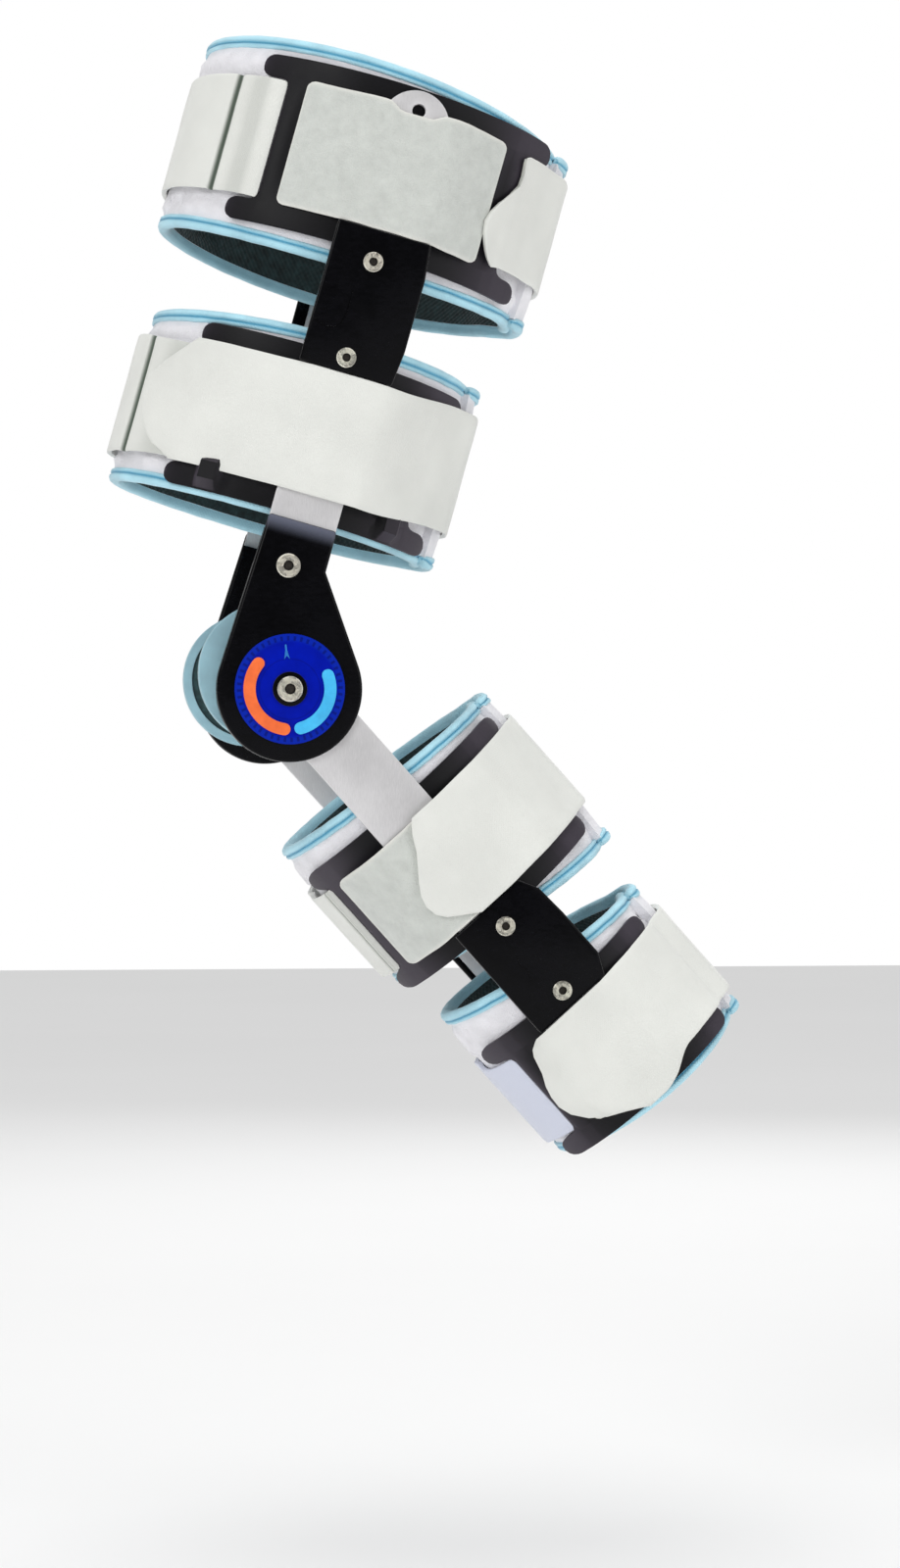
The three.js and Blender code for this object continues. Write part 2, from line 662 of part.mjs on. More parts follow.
function addCuff(group, cuff) {
  const nearEdge = cuff.limb === 'thigh' ? 'bottom' : 'top';
  const farEdge = cuff.limb === 'thigh' ? 'top' : 'bottom';
  addMesh(group, `${cuff.name}_wrap`, wrapBody(cuff), 'fleece');
  addMesh(group, `${cuff.name}_edge_${nearEdge}`, edgeBody(cuff, 'near'), 'binding');
  addMesh(group, `${cuff.name}_edge_${farEdge}`, edgeBody(cuff, 'far'), 'binding');
  for (const side of SIDES) {
    addMesh(group, `${cuff.name}_plate_${side.name}`, plateBody(cuff, side), 'plastic');
  }
  if (cuff.patch) addMesh(group, `${cuff.name}_patch`, patchBody(cuff), 'felt');
  addMesh(group, `${cuff.name}_strap`, strapBody(cuff), 'webbing');
}

function addSleeve(group, sleeve, side) {
  const limb = LIMBS[sleeve.limb];
  addMesh(group, `${side.name}_${sleeve.name}`, sleeveBody(sleeve, side), 'gloss');
  sleeve.rivets.forEach((along, i) => {
    const base = barOuter(limb, along) + GAP + SLEEVE_THICKNESS + GAP;
    const head = rivetBody(limb.barX, along, SLEEVE_RIVET_RADIUS, base, RIVET_HEIGHT, side, limb);
    addMesh(group, `${side.name}_${sleeve.name}_rivet_${i + 1}`, head, 'rivet');
  });
}

function addHinge(group, side) {
  const { barX } = LIMBS.thigh;
  const padFace = HINGE_HALF_WIDTH - 2 * GAP - BACK_THICKNESS;
  const dial = circlePoints(0, 0, DIAL_RADIUS, 28);
  addMesh(group, `${side.name}_hinge_housing`, housingBody(side), 'gloss');
  addMesh(group, `${side.name}_hinge_dial`, slab(dial, HOUSING_FACE + GAP, DIAL_FACE, side), 'dial');
  if (side.name === 'outer') {
    for (const arc of DIAL_ARCS) {
      addMesh(group, `outer_${arc.name}`, arcBody(arc, side), { color: arc.colour, roughness: 0.5, metalness: 0 });
    }
  }
  const ringTop = DIAL_FACE + GAP + ARC_THICKNESS;
  const pivotRing = circlePoints(0, 0, PIVOT_RING_RADIUS, 20);
  addMesh(group, `${side.name}_pivot_ring`, slab(pivotRing, DIAL_FACE + GAP, ringTop, side), 'gloss');
  addMesh(group, `${side.name}_pivot_rivet`,
    rivetBody(0, 0, PIVOT_RIVET_RADIUS, ringTop + GAP, RIVET_HEIGHT, side, null, 16), 'rivet');
  addMesh(group, `${side.name}_neck_rivet`,
    rivetBody(barX, NECK_RIVET.along, NECK_RIVET.radius, HOUSING_FACE + GAP, RIVET_HEIGHT, side, null), 'rivet');
  addMesh(group, `${side.name}_hinge_pad`, slab(
    circlePoints(PAD_CENTRE.x, PAD_CENTRE.along, PAD_RADIUS, 28), padFace - PAD_THICKNESS, padFace, side,
  ), 'foam');
  addMesh(group, `${side.name}_hinge_pad_edge`,
    ringBody(PAD_CENTRE, PAD_RADIUS + GAP, PAD_EDGE_RADIUS, padFace - PAD_THICKNESS, padFace, side), 'binding');
}

const brace = new THREE.Group();
const thigh = new THREE.Group();
const calf = new THREE.Group();
thigh.rotation.y = radians(THIGH_LEAN_DEG);
calf.rotation.y = radians(CALF_LEAN_DEG);
brace.add(thigh, calf);

const GROUPS = { thigh, calf };
for (const cuff of CUFFS) addCuff(GROUPS[cuff.limb], cuff);
for (const side of SIDES) {
  for (const [name, limb] of Object.entries(LIMBS)) {
    addMesh(GROUPS[name], `${side.name}_${name}_bar`, barBody(limb, side), 'aluminium');
  }
  for (const sleeve of SLEEVES) addSleeve(GROUPS[sleeve.limb], sleeve, side);
  addHinge(thigh, side);
}

export default brace;
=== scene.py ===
"""Dresses a hinged knee immobilizer: four padded cuffs with plates and straps on two hinged side frames.

Run as a script in Blender. Tables are in millimetres; every mesh is in metres, +Z up, +X towards the
back of the leg and -Y towards its outer side.
"""

import math

import bpy
from bpy.props import FloatProperty, FloatVectorProperty, PointerProperty
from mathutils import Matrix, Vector, noise


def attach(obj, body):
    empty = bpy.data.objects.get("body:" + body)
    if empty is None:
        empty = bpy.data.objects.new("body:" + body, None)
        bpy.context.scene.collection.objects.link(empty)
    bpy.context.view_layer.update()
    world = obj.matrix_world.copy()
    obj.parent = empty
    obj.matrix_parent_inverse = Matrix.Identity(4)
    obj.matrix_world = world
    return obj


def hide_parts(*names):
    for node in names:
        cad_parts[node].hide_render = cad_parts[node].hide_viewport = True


bl_info = {
    "name": "Knee immobilizer",
    "version": (1, 0, 0),
    "blender": (4, 5, 0),
    "location": "View3D > Sidebar > Knee immobilizer",
    "description": "Builds a hinged knee immobilizer with padded cuffs, plates, straps and a dial hinge",
    "category": "Object",
}

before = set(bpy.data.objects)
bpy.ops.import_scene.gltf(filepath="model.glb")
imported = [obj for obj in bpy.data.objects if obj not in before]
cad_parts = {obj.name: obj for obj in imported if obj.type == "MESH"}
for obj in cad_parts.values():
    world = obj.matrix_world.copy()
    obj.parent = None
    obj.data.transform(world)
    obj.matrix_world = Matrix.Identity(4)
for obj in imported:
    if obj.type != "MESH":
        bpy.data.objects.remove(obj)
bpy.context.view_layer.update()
MM = 0.001

# Limbs. Along is counted from the flexion axis down a limb's middle, x from the axis to the rear.
LIMBS = {
    "thigh": {"sign": 1, "lean": 15.5, "bar_x": -15, "bend": 80, "spread": 0.07, "body": "thigh_frame"},
    "calf": {"sign": -1, "lean": -42, "bar_x": 0, "bend": 38, "spread": -0.082, "body": "calf_frame"},
}
BARS = {
    "thigh": {"start": 20, "end": 292, "hole": 282.5},
    "calf": {"start": -17, "end": 250, "hole": None},
}
SIDES = {"outer": -1, "inner": 1}
HINGE_HALF_WIDTH = 73.6
BAR_SEAT = 3.8
PLATE_FACE = 3.4
WEB_FACE = 2.7
STRAP_SEAT = 0.5
CLEARANCE = 0.3

# Angles round a cuff: 0 is the rear, -90 the outer side, -180 the front, -270 the inner side.
WALL_START = 5
FLAP_RAMP = -336
FLAP_TOP = -352
FLAP_END = -377
FLAP_RISE = 6.3
FLAP_DIP = 2.2
SWELL_FRAMES = 14
STRAP_SLOPE = 0.4
BAR_REACH = 17.5
STRAP_WIDEN = 40
TIP_COLUMNS = 14

# A rim has its place at the front and the rear, and how far it bows out between them. A tongue's
# points have their place along the limb and their x. A hook has its x, half width and height.
CUFFS = [
    {
        "name": "upper_thigh", "limb": "thigh", "centre": -27.4, "depth": 91.1,
        "near": (206, 205, -3.5), "far": (302, 294, 4), "rails": ((212, 223), (282.5, 293.5)),
        "plate": (-89, 54), "web": (-76, 42), "slit": -140,
        "strap_start": (224, 281.5), "strap": (223.6, 280), "rise": 3,
        "tongue": (
            (223, 38.5), (229.5, 32.5), (241, 27.5), (248, 28), (258, 33.5), (268, 40), (281, 39.5)),
        "patch": {"along": (222.8, 283.5), "x": (-67, 29), "notch": (-16.5, 3.6)},
    },
    {
        "name": "lower_thigh", "limb": "thigh", "centre": -28.4, "depth": 80.1,
        "near": (79, 79, 0), "far": (166, 172, 1.5), "rails": ((81.5, 92.5), (150.5, 161.5)),
        "plate": (-83, 45.5), "web": (-70, 34), "slit": -158,
        "hooks": ((-62.8, 5.0, 4.6), (24, 4.6, 4.0)),
        "strap_start": (93.5, 149.5), "strap": (92.2, 152.4), "rise": 5.5,
        "tongue": (
            (90, -79), (93.6, -82), (99.2, -90.2), (112.8, -97.1), (130, -98), (142, -90), (155, -79)),
    },
    {
        "name": "upper_calf", "limb": "calf", "centre": 9.9, "depth": 60.9,
        "near": (60, 68, 0), "far": (150, 166, 0), "rails": ((76.2, 87.2), (141.5, 152.5)),
        "plate": (-49, 66), "web": (-44, 50), "slit": -157,
        "strap_start": (88.2, 140.5), "strap": (85.5, 142.5),
        "tongue": (
            (85, 4), (90.9, 0), (100.4, -4), (109.9, -9.5), (120.6, -13.5), (131.6, -11.5), (143, 0.5)),
        "patch": {"along": (87, 142), "x": (-38, 42)},
    },
    {
        "name": "lower_calf", "limb": "calf", "centre": 7.9, "depth": 54.9,
        "near": (175, 190, 0), "far": (268, 273, 4), "rails": ((198, 209), (259, 270)),
        "plate": (-43.5, 54.5), "web": (-34, 41), "slit": None,
        "strap_start": (210, 258), "strap": (207, 261), "droop": (7, 31, 9),
        "tongue": (
            (206, -14.5), (211, -20), (222, -23), (232.7, -27), (246, -27), (256, -19.5), (264, -9),
            (271, 0)),
        "patch": {"along": (209, 259), "x": (-20, 34)},
    },
]

# Hinge.
DISC_RADIUS = 35
NECK_TOP = 79
NECK_HALF_WIDTH = 16.8
FLARE_ALONG = 58.6
BACK_TOP = 72
HUB_RADIUS = 17.6
FULL_FLEXION = 90
SLOT = (73.3, 76.9)
HOUSING = (70.9, 80.1)
PAD_CENTRE = (-10.8, 5.3)
DIAL_TICKS = 48.0
DIAL_ARCS = {"flexion_arc": (141, 262, "orange"), "extension_arc": (-75, 20, "cyan")}
SLEEVES = {
    "thigh": {
        "front": -38, "rear": ((8, 152.9), (9.8, 170), (9.8, 205), (8, 222.6)),
        "rivets": ((-16.6, 159.8), (-16.6, 207))},
    "calf": {
        "front": -19.6, "rear": ((21.5, 142.8), (26.6, 153), (27.6, 170), (27.6, 196), (22.4, 207)),
        "rivets": ((2, 155.6), (2, 198))},
}


def length(name, description, value):
    return FloatProperty(name=name, description=description, default=value * MM, unit="LENGTH")


class BraceSizes(bpy.types.PropertyGroup):
    wall: length("Wall", "Thickness of a cuff's padded wall", 5.4)
    edge: length("Bound edge", "Height of the binding round a rim", 6)
    plate: length("Plate", "Thickness of a side plate", 2.1)
    strap: length("Strap", "Thickness of a strap", 2.2)
    patch: length("Patch", "Thickness of a felt patch", 1.4)
    bar_width: length("Bar width", "Width of a side bar", 33)
    bar: length("Bar", "Thickness of a side bar", 3)
    dial: length("Dial", "Radius of the hinge's dial", 26.5)
    pad: length("Hinge pad", "Radius of the pad behind a hinge", 34)


def colour(name, description, value):
    return FloatVectorProperty(
        name=name, description=description, subtype="COLOR", size=3, min=0, max=1, default=value)


class BraceColours(bpy.types.PropertyGroup):
    fleece: colour("Fleece", "Face of the padded walls", (0.91, 0.90, 0.94))
    lining: colour("Lining", "Inside of the cuffs", (0.012, 0.03, 0.032))
    binding: colour("Binding", "Bound edges", (0.47, 0.79, 0.92))
    webbing: colour("Strap", "Straps", (0.80, 0.81, 0.77))
    felt: colour("Felt", "Patches under the straps", (0.63, 0.655, 0.62))
    plastic: colour("Plates", "Satin moulded plates", (0.003, 0.0028, 0.004))
    gloss: colour("Housing", "Glossy moulded covers", (0.0012, 0.0012, 0.0018))
    aluminium: colour("Bars", "Satin aluminium bars", (0.70, 0.69, 0.70))
    rivet: colour("Rivets", "Rivet heads", (1.0, 0.94, 0.82))
    dial: colour("Dial", "Printed dial", (0.0, 0.008, 0.38))
    orange: colour("Flexion arc", "Left arc of the dial", (1.0, 0.17, 0.04))
    cyan: colour("Extension arc", "Right arc of the dial", (0.06, 0.52, 0.95))


def at(limb, x, y, along):
    """A point given on a limb, in metres in the part's frame."""
    lean = math.radians(limb["lean"])
    z = limb["sign"] * along
    return MM * Vector((
        x * math.cos(lean) + z * math.sin(lean), y, z * math.cos(lean) - x * math.sin(lean)))


def bar_inner(limb, along):
    return HINGE_HALF_WIDTH + limb["spread"] * max(0, along - limb["bend"])


def limb_of(cuff):
    return LIMBS[cuff["limb"]]


def cuff_flat(cuff, angle, offset, along):
    """x and y of a point at a distance outside the cuff's wall."""
    half_width = bar_inner(limb_of(cuff), along) - BAR_SEAT
    turn = math.radians(angle)
    normal = Vector((half_width * math.cos(turn), cuff["depth"] * math.sin(turn))).normalized()
    x = cuff["centre"] + cuff["depth"] * math.cos(turn) + normal.x * offset
    return x, half_width * math.sin(turn) + normal.y * offset


def cuff_point(cuff, angle, offset, along, side=-1):
    x, y = cuff_flat(cuff, angle, offset, along)
    return at(limb_of(cuff), x, -side * y, along)


def outer_angle(cuff, x):
    return -math.degrees(math.acos((x - cuff["centre"]) / cuff["depth"]))


def smooth(value, low, high):
    share = min(1, max(0, (value - low) / (high - low)))
    return share * share * (3 - 2 * share)


def mix(a, b, share):
    return a + (b - a) * share


def wall_rise(angle):
    """The lap's height where the wall's free end lies over its start, pressed down at the very end."""
    lap = FLAP_RISE * smooth(-angle, -FLAP_RAMP, -FLAP_TOP)
    return lap - FLAP_DIP * smooth(-angle, -FLAP_END - 9, -FLAP_END)


def rim(cuff, angle, which):
    front, rear, bow = cuff[which]
    turn = math.radians(angle)
    return mix(front, rear, (1 + math.cos(turn)) / 2) + bow * math.sin(turn) ** 2


def fuzz(point, scale, seed):
    return noise.noise(Vector((point[0] * scale, point[1] * scale, seed)))


# Modelling helpers.
def clear_selection():
    if bpy.context.object and bpy.context.object.mode != "OBJECT":
        bpy.ops.object.mode_set(mode="OBJECT")
    bpy.ops.object.select_all(action="DESELECT")


def pick(piece):
    clear_selection()
    piece.select_set(True)
    bpy.context.view_layer.objects.active = piece


def modify(piece, kind, **settings):
    """Adds one modifier and applies it."""
    pick(piece)
    modifier = piece.modifiers.new(kind.title(), kind)
    for name, value in settings.items():
        setattr(modifier, name, value)
    bpy.ops.object.modifier_apply(modifier=modifier.name)


def edit(piece, *steps):
    """Runs edit-mode steps on the whole piece."""
    pick(piece)
    bpy.context.tool_settings.mesh_select_mode = (True, False, False)
    bpy.ops.object.mode_set(mode="EDIT")
    bpy.ops.mesh.select_all(action="SELECT")
    for step in steps:
        step()
    bpy.ops.object.mode_set(mode="OBJECT")


def shade(piece, degrees=40):
    pick(piece)
    bpy.ops.object.shade_smooth_by_angle(angle=math.radians(degrees))


def bent_grid(name, across, along, place, keep=None):
    """A flat grid whose points are laid at place(i, j), with a UV map in metres."""
    clear_selection()
    bpy.ops.mesh.primitive_grid_add(x_subdivisions=across, y_subdivisions=along, size=2)
    piece = bpy.context.object
    piece.name = name
    mesh = piece.data
    cells = [
        (round((v.co.x + 1) / 2 * across), round((v.co.y + 1) / 2 * along)) for v in mesh.vertices]
    spots = {cell: place(*cell) for cell in cells}
    for vertex, cell in zip(mesh.vertices, cells):
        vertex.co = spots[cell]
    middle = along // 2
    run = [0.0]
    for i in range(across):
        run.append(run[-1] + (spots[i + 1, middle] - spots[i, middle]).length)
    rise = [0.0]
    for j in range(along):
        rise.append(rise[-1] + (spots[across // 2, j + 1] - spots[across // 2, j]).length)
    layer = mesh.uv_layers.active.data
    for loop in mesh.loops:
        i, j = cells[loop.vertex_index]
        layer[loop.index].uv = (run[i], rise[j])
    if keep is not None:
        pick(piece)
        bpy.context.tool_settings.mesh_select_mode = (False, False, True)
        for polygon in mesh.polygons:
            corners = [cells[v] for v in polygon.vertices]
            polygon.select = not keep(min(c[0] for c in corners), min(c[1] for c in corners))
        bpy.ops.object.mode_set(mode="EDIT")
        bpy.ops.mesh.delete(type="FACE")
        bpy.ops.object.mode_set(mode="OBJECT")
    return piece, run[-1], rise[-1]


def face_out(piece, middle):
    """Turns a sheet's faces away from a middle line, before it gets its thickness."""
    outward = sum(p.normal.dot(p.center - middle(p.center)) for p in piece.data.polygons)
    if outward < 0:
        edit(piece, bpy.ops.mesh.flip_normals)


def cuff_axis(cuff):
    limb = limb_of(cuff)
    start = at(limb, cuff["centre"], 0, 0)
    way = (at(limb, cuff["centre"], 0, 1) - start).normalized()
    return lambda point: start + way * (point - start).dot(way)


def thicken(piece, thickness, lining=False):
    modify(
        piece, "SOLIDIFY", thickness=thickness, offset=-1, use_even_offset=True,
        material_offset=1 if lining else 0)


def round_edges(piece, width, segments=2, degrees=50):
    modify(
        piece, "BEVEL", width=width, segments=segments, limit_method="ANGLE",
        angle_limit=math.radians(degrees))


def paint(piece, name, value_at):
    """Stores a value for each point, which a material reads by its name."""
    layer = piece.data.attributes.new(name, "FLOAT", "POINT")
    for index in range(len(piece.data.vertices)):
        layer.data[index].value = value_at(index)


def outline_solid(name, points, low, high, edge=0.0, segments=2):
    """A solid drawn as x and along, from low to high off the leg's middle plane, in millimetres."""
    clear_selection()
    bpy.ops.mesh.primitive_circle_add(vertices=len(points), fill_type="NGON")
    piece = bpy.context.object
    piece.name = name
    for vertex, (x, along) in zip(piece.data.vertices, points):
        vertex.co = Vector((x, low, along))
    edit(
        piece,
        lambda: bpy.ops.mesh.extrude_region_move(
            TRANSFORM_OT_translate={"value": (0, high - low, 0)}),
        lambda: bpy.ops.mesh.select_all(action="SELECT"),
        lambda: bpy.ops.mesh.normals_make_consistent(inside=False))
    if edge:
        round_edges(piece, edge, segments)
    return piece


def cut(piece, cutter):
    modify(piece, "BOOLEAN", operation="DIFFERENCE", object=cutter, solver="EXACT")
    bpy.data.objects.remove(cutter, do_unlink=True)


def swell(piece, held, cap):
    """Lets a padded piece swell by cloth simulation between the points that hold it down."""
    start = [vertex.co.copy() for vertex in piece.data.vertices]
    group = piece.vertex_groups.new(name="held")
    for index, weight in enumerate(held):
        group.add([index], weight, "REPLACE")
    pick(piece)
    cloth = piece.modifiers.new("Cloth", "CLOTH")
    settings = cloth.settings
    settings.quality = 5
    settings.mass = 0.25
    settings.tension_stiffness = settings.compression_stiffness = 12
    settings.bending_stiffness = 0.3
    settings.shrink_min = -0.04
    settings.use_pressure = True
    settings.uniform_pressure_force = 3
    settings.vertex_group_mass = "held"
    settings.pin_stiffness = 2
    settings.effector_weights.gravity = 0
    cloth.collision_settings.use_collision = False
    cloth.point_cache.frame_start = 1
    cloth.point_cache.frame_end = SWELL_FRAMES
    for step in range(1, SWELL_FRAMES + 1):
        bpy.context.scene.frame_set(step)
    bpy.ops.object.modifier_apply(modifier=cloth.name)
    bpy.context.scene.frame_set(1)
    for vertex, spot in zip(piece.data.vertices, start):
        shift = vertex.co - spot
        if shift.length > cap:
            vertex.co = spot + shift.normalized() * cap
    piece.vertex_groups.clear()


def place_on_limb(piece, limb, side, lean_with_bar=True):
    """Takes a solid drawn on the outline plane to its place on one side of a limb."""
    for vertex in piece.data.vertices:
        x, y, along = vertex.co
        if lean_with_bar:
            y += bar_inner(limb, along) - HINGE_HALF_WIDTH
        vertex.co = at(limb, x, side * y, along)
    if side * limb["sign"] < 0:
        return
    edit(piece, bpy.ops.mesh.flip_normals)


def round_points(centre, radius, count=64):
    return [
        (centre[0] + radius * math.cos(2 * math.pi * k / count),
         centre[1] + radius * math.sin(2 * math.pi * k / count)) for k in range(count)]


def finish(piece, limb, slot, replaced, *materials, degrees=None):
    """Gives a piece its materials and smooth faces, and lets it ride on its limb."""
    for material in materials:
        piece.data.materials.append(MATERIALS[material])
    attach(piece, limb["body"])
    if replaced:
        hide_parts(*replaced)
    if degrees:
        shade(piece, degrees)


# Shader groups.
def new_group(name, inputs, outputs):
    """A shader group; a socket is given as its name, its kind and, where it has one, its default."""
    group = bpy.data.node_groups.new(name, "ShaderNodeTree")
    for way, sockets in (("INPUT", inputs), ("OUTPUT", outputs)):
        for label, kind, *default in sockets:
            made = group.interface.new_socket(name=label, in_out=way, socket_type=f"NodeSocket{kind}")
            if default:
                made.default_value = default[0]
    return group, group.nodes.new("NodeGroupInput"), group.nodes.new("NodeGroupOutput")


def add_node(tree, kind, fields=None, **inputs):
    made = tree.nodes.new(kind)
    for name, value in (fields or {}).items():
        setattr(made, name, value)
    for name, value in inputs.items():
        target = made.inputs[int(name[1:])] if name[0] == "_" else made.inputs[name]
        if isinstance(value, bpy.types.NodeSocket):
            tree.links.new(value, target)
        else:
            target.default_value = value
    return made


def math_node(tree, operation, a, b=0.0, c=None):
    inputs = {"_0": a, "_1": b}
    if c is not None:
        inputs["_2"] = c
    return add_node(tree, "ShaderNodeMath", {"operation": operation}, **inputs).outputs[0]


def noise_node(tree, where, scale, detail, **inputs):
    return add_node(
        tree, "ShaderNodeTexNoise", Vector=where, Scale=scale, Detail=detail, **inputs).outputs[0]


def mottle_group():
    """Cloudy variation in two sizes: a mask for colour and a height for bump."""
    group, source, target = new_group(
        "Mottle", [("Vector", "Vector"), ("Scale", "Float", 60.0), ("Fine", "Float", 8.0)],
        [("Mask", "Float"), ("Height", "Float")])
    where, scale, fine = source.outputs[:3]
    coarse = noise_node(group, where, scale, 3.0)
    close = noise_node(group, where, math_node(group, "MULTIPLY", scale, fine), 4.0)
    group.links.new(coarse, target.inputs[0])
    group.links.new(math_node(group, "MULTIPLY_ADD", close, 0.7, coarse), target.inputs[1])
    return group


def weave_group():
    """Crossed threads on a UV map in metres."""
    group, source, target = new_group(
        "Weave", [("Vector", "Vector"), ("Threads", "Float", 900.0)],
        [("Height", "Float"), ("Mask", "Float")])
    scaled = add_node(
        group, "ShaderNodeVectorMath", {"operation": "SCALE"}, _0=source.outputs[0],
        Scale=source.outputs[1]).outputs[0]
    split = add_node(group, "ShaderNodeSeparateXYZ", _0=scaled)
    warp, weft = (
        math_node(group, "SINE", math_node(group, "MULTIPLY", way, math.pi))
        for way in split.outputs[:2])
    crossed = math_node(group, "MULTIPLY", warp, weft)
    group.links.new(math_node(group, "MULTIPLY_ADD", crossed, 0.5, 0.5), target.inputs[0])
    group.links.new(noise_node(group, scaled, 0.35, 2.0), target.inputs[1])
    return group


def scuff_group():
    """Fine marks on hard faces: a roughness mask and a height."""
    group, source, target = new_group(
        "Scuffs", [("Vector", "Vector"), ("Stretch", "Vector", (1, 1, 1)), ("Scale", "Float", 400.0)],
        [("Mask", "Float"), ("Height", "Float")])
    where, stretch, scale = source.outputs[:3]
    pulled = add_node(
        group, "ShaderNodeVectorMath", {"operation": "MULTIPLY"}, _0=where, _1=stretch).outputs[0]
    lines = noise_node(group, pulled, scale, 5.0, Roughness=0.65)
    both = math_node(group, "MULTIPLY", lines, noise_node(group, where, 35.0, 2.0))
    group.links.new(math_node(group, "MULTIPLY", both, 2.2), target.inputs[0])
    group.links.new(lines, target.inputs[1])
    return group


def blend_group():
    """Lays a tone over a colour where a mask rises between two levels."""
    group, source, target = new_group(
        "Blend",
        [("Mask", "Float", 0.0), ("Low", "Float", 0.0), ("High", "Float", 1.0), ("Colour", "Color"),
         ("Tone", "Color")],
        [("Colour", "Color")])
    share = add_node(
        group, "ShaderNodeMapRange", {"interpolation_type": "SMOOTHSTEP"}, _0=source.outputs[0],
        _1=source.outputs[1], _2=source.outputs[2])
    mixed = add_node(
        group, "ShaderNodeMix", {"data_type": "RGBA"}, _0=share.outputs[0], _6=source.outputs[3],
        _7=source.outputs[4])
    group.links.new(mixed.outputs[2], target.inputs[0])
    return group


GROUPS = {}
MATERIALS = {}


def use_group(tree, name, which=None, **inputs):
    """Places a shared group, on Object or UV coordinates where it reads them."""
    if which:
        inputs["Vector"] = coordinates(tree, which)
    return add_node(tree, "ShaderNodeGroup", {"node_tree": GROUPS[name]}, **inputs)


def start_material(name, base, **inputs):
    material = bpy.data.materials.new(name)
    material.use_nodes = True
    tree = material.node_tree
    shader = tree.nodes["Principled BSDF"]
    shader.inputs["Base Color"].default_value = (*base, 1)
    for label, value in inputs.items():
        shader.inputs[label.replace("_", " ")].default_value = value
    MATERIALS[name] = material
    return tree, shader


def tint(tree, shader, mask, base, low, high):
    """Varies the base colour between two brightnesses by a mask."""
    ramp = add_node(tree, "ShaderNodeValToRGB", _0=mask)
    ramp.color_ramp.elements[0].position = 0.3
    ramp.color_ramp.elements[1].position = 0.7
    ramp.color_ramp.elements[0].color = (*[c * low for c in base], 1)
    ramp.color_ramp.elements[1].color = (*[min(1, c * high) for c in base], 1)
    tree.links.new(ramp.outputs[0], shader.inputs["Base Color"])
    return ramp.outputs[0]


def lay_over(tree, shader, under, mask, tone, low=0.0, high=1.0):
    """Lays a tone over the base colour by a mask."""
    made = use_group(tree, "Blend", Mask=mask, Low=low, High=high, Colour=under, Tone=(*tone, 1))
    tree.links.new(made.outputs[0], shader.inputs["Base Color"])
    return made.outputs[0]


def painted(tree, name):
    return add_node(tree, "ShaderNodeAttribute", {"attribute_name": name}).outputs["Fac"]


def facing(tree):
    return add_node(tree, "ShaderNodeLayerWeight", _0=0.5).outputs["Facing"]


def bump(tree, shader, height, distance, strength=1.0):
    made = add_node(tree, "ShaderNodeBump", Height=height, Distance=distance, Strength=strength)
    tree.links.new(made.outputs[0], shader.inputs["Normal"])


def vary_roughness(tree, shader, mask, low, high):
    made = add_node(tree, "ShaderNodeMapRange", _0=mask, _3=low, _4=high)
    tree.links.new(made.outputs[0], shader.inputs["Roughness"])


def coordinates(tree, which):
    return add_node(tree, "ShaderNodeTexCoord").outputs[which]


def fleece_material(colours):
    """Brushed loop fleece: a soft nap with small tufts and a faint lilac mottle."""
    base = tuple(colours.fleece)
    tree, shader = start_material("fleece", base, Roughness=0.95, Sheen_Weight=0.35, Sheen_Roughness=0.5)
    nap = use_group(tree, "Mottle", "Object", Scale=90.0, Fine=14.0)
    tint(tree, shader, nap.outputs[0], base, 0.93, 1.06)
    bump(tree, shader, nap.outputs[1], 0.0009, 0.8)


def lining_material(colours):
    """Dark perforated lining: a knit over foam."""
    base = tuple(colours.lining)
    tree, shader = start_material("lining", base, Roughness=0.9, Sheen_Weight=0.2)
    knit = use_group(tree, "Weave", "UV", Threads=650.0)
    tint(tree, shader, knit.outputs[1], base, 0.6, 1.7)
    bump(tree, shader, knit.outputs[0], 0.0004)


def binding_material(colours):
    """Stretch binding: ribs across the tape, a soft sheen, and painted shade in its sewn groove."""
    base = tuple(colours.binding)
    tree, shader = start_material(
        "binding", base, Roughness=0.75, Sheen_Weight=0.45, Sheen_Roughness=0.4)
    ribs = use_group(tree, "Weave", "UV", Threads=1100.0)
    clouds = use_group(tree, "Mottle", "Object", Scale=55.0, Fine=6.0)
    under = tint(tree, shader, clouds.outputs[0], base, 0.86, 1.1)
    # Painted shade: darker in the sewn groove and on the tape's lower side.
    lay_over(tree, shader, under, painted(tree, "groove_shade"), (0.11, 0.43, 0.62))
    height = math_node(tree, "MULTIPLY_ADD", ribs.outputs[0], 0.5, clouds.outputs[1])
    bump(tree, shader, height, 0.0005, 0.7)


def webbing_material(colours):
    """Brushed strap: close pile, smooth to the eye, with a faint weave under it."""
    base = tuple(colours.webbing)
    tree, shader = start_material("webbing", base, Roughness=0.8, Sheen_Weight=0.3, Sheen_Roughness=0.35)
    weave = use_group(tree, "Weave", "UV", Threads=1500.0)
    pile = use_group(tree, "Mottle", "Object", Scale=28.0, Fine=55.0)
    under = tint(tree, shader, pile.outputs[0], base, 0.95, 1.04)
    under = lay_over(tree, shader, under, painted(tree, "cool"), (0.68, 0.71, 0.83))
    # Painted shade: the dark line in the slit and the shaded valley of the fold.
    lay_over(tree, shader, under, painted(tree, "crease_shade"), (0.10, 0.13, 0.10))
    height = math_node(tree, "MULTIPLY_ADD", weave.outputs[0], 0.25, pile.outputs[1])
    bump(tree, shader, height, 0.0003, 0.6)


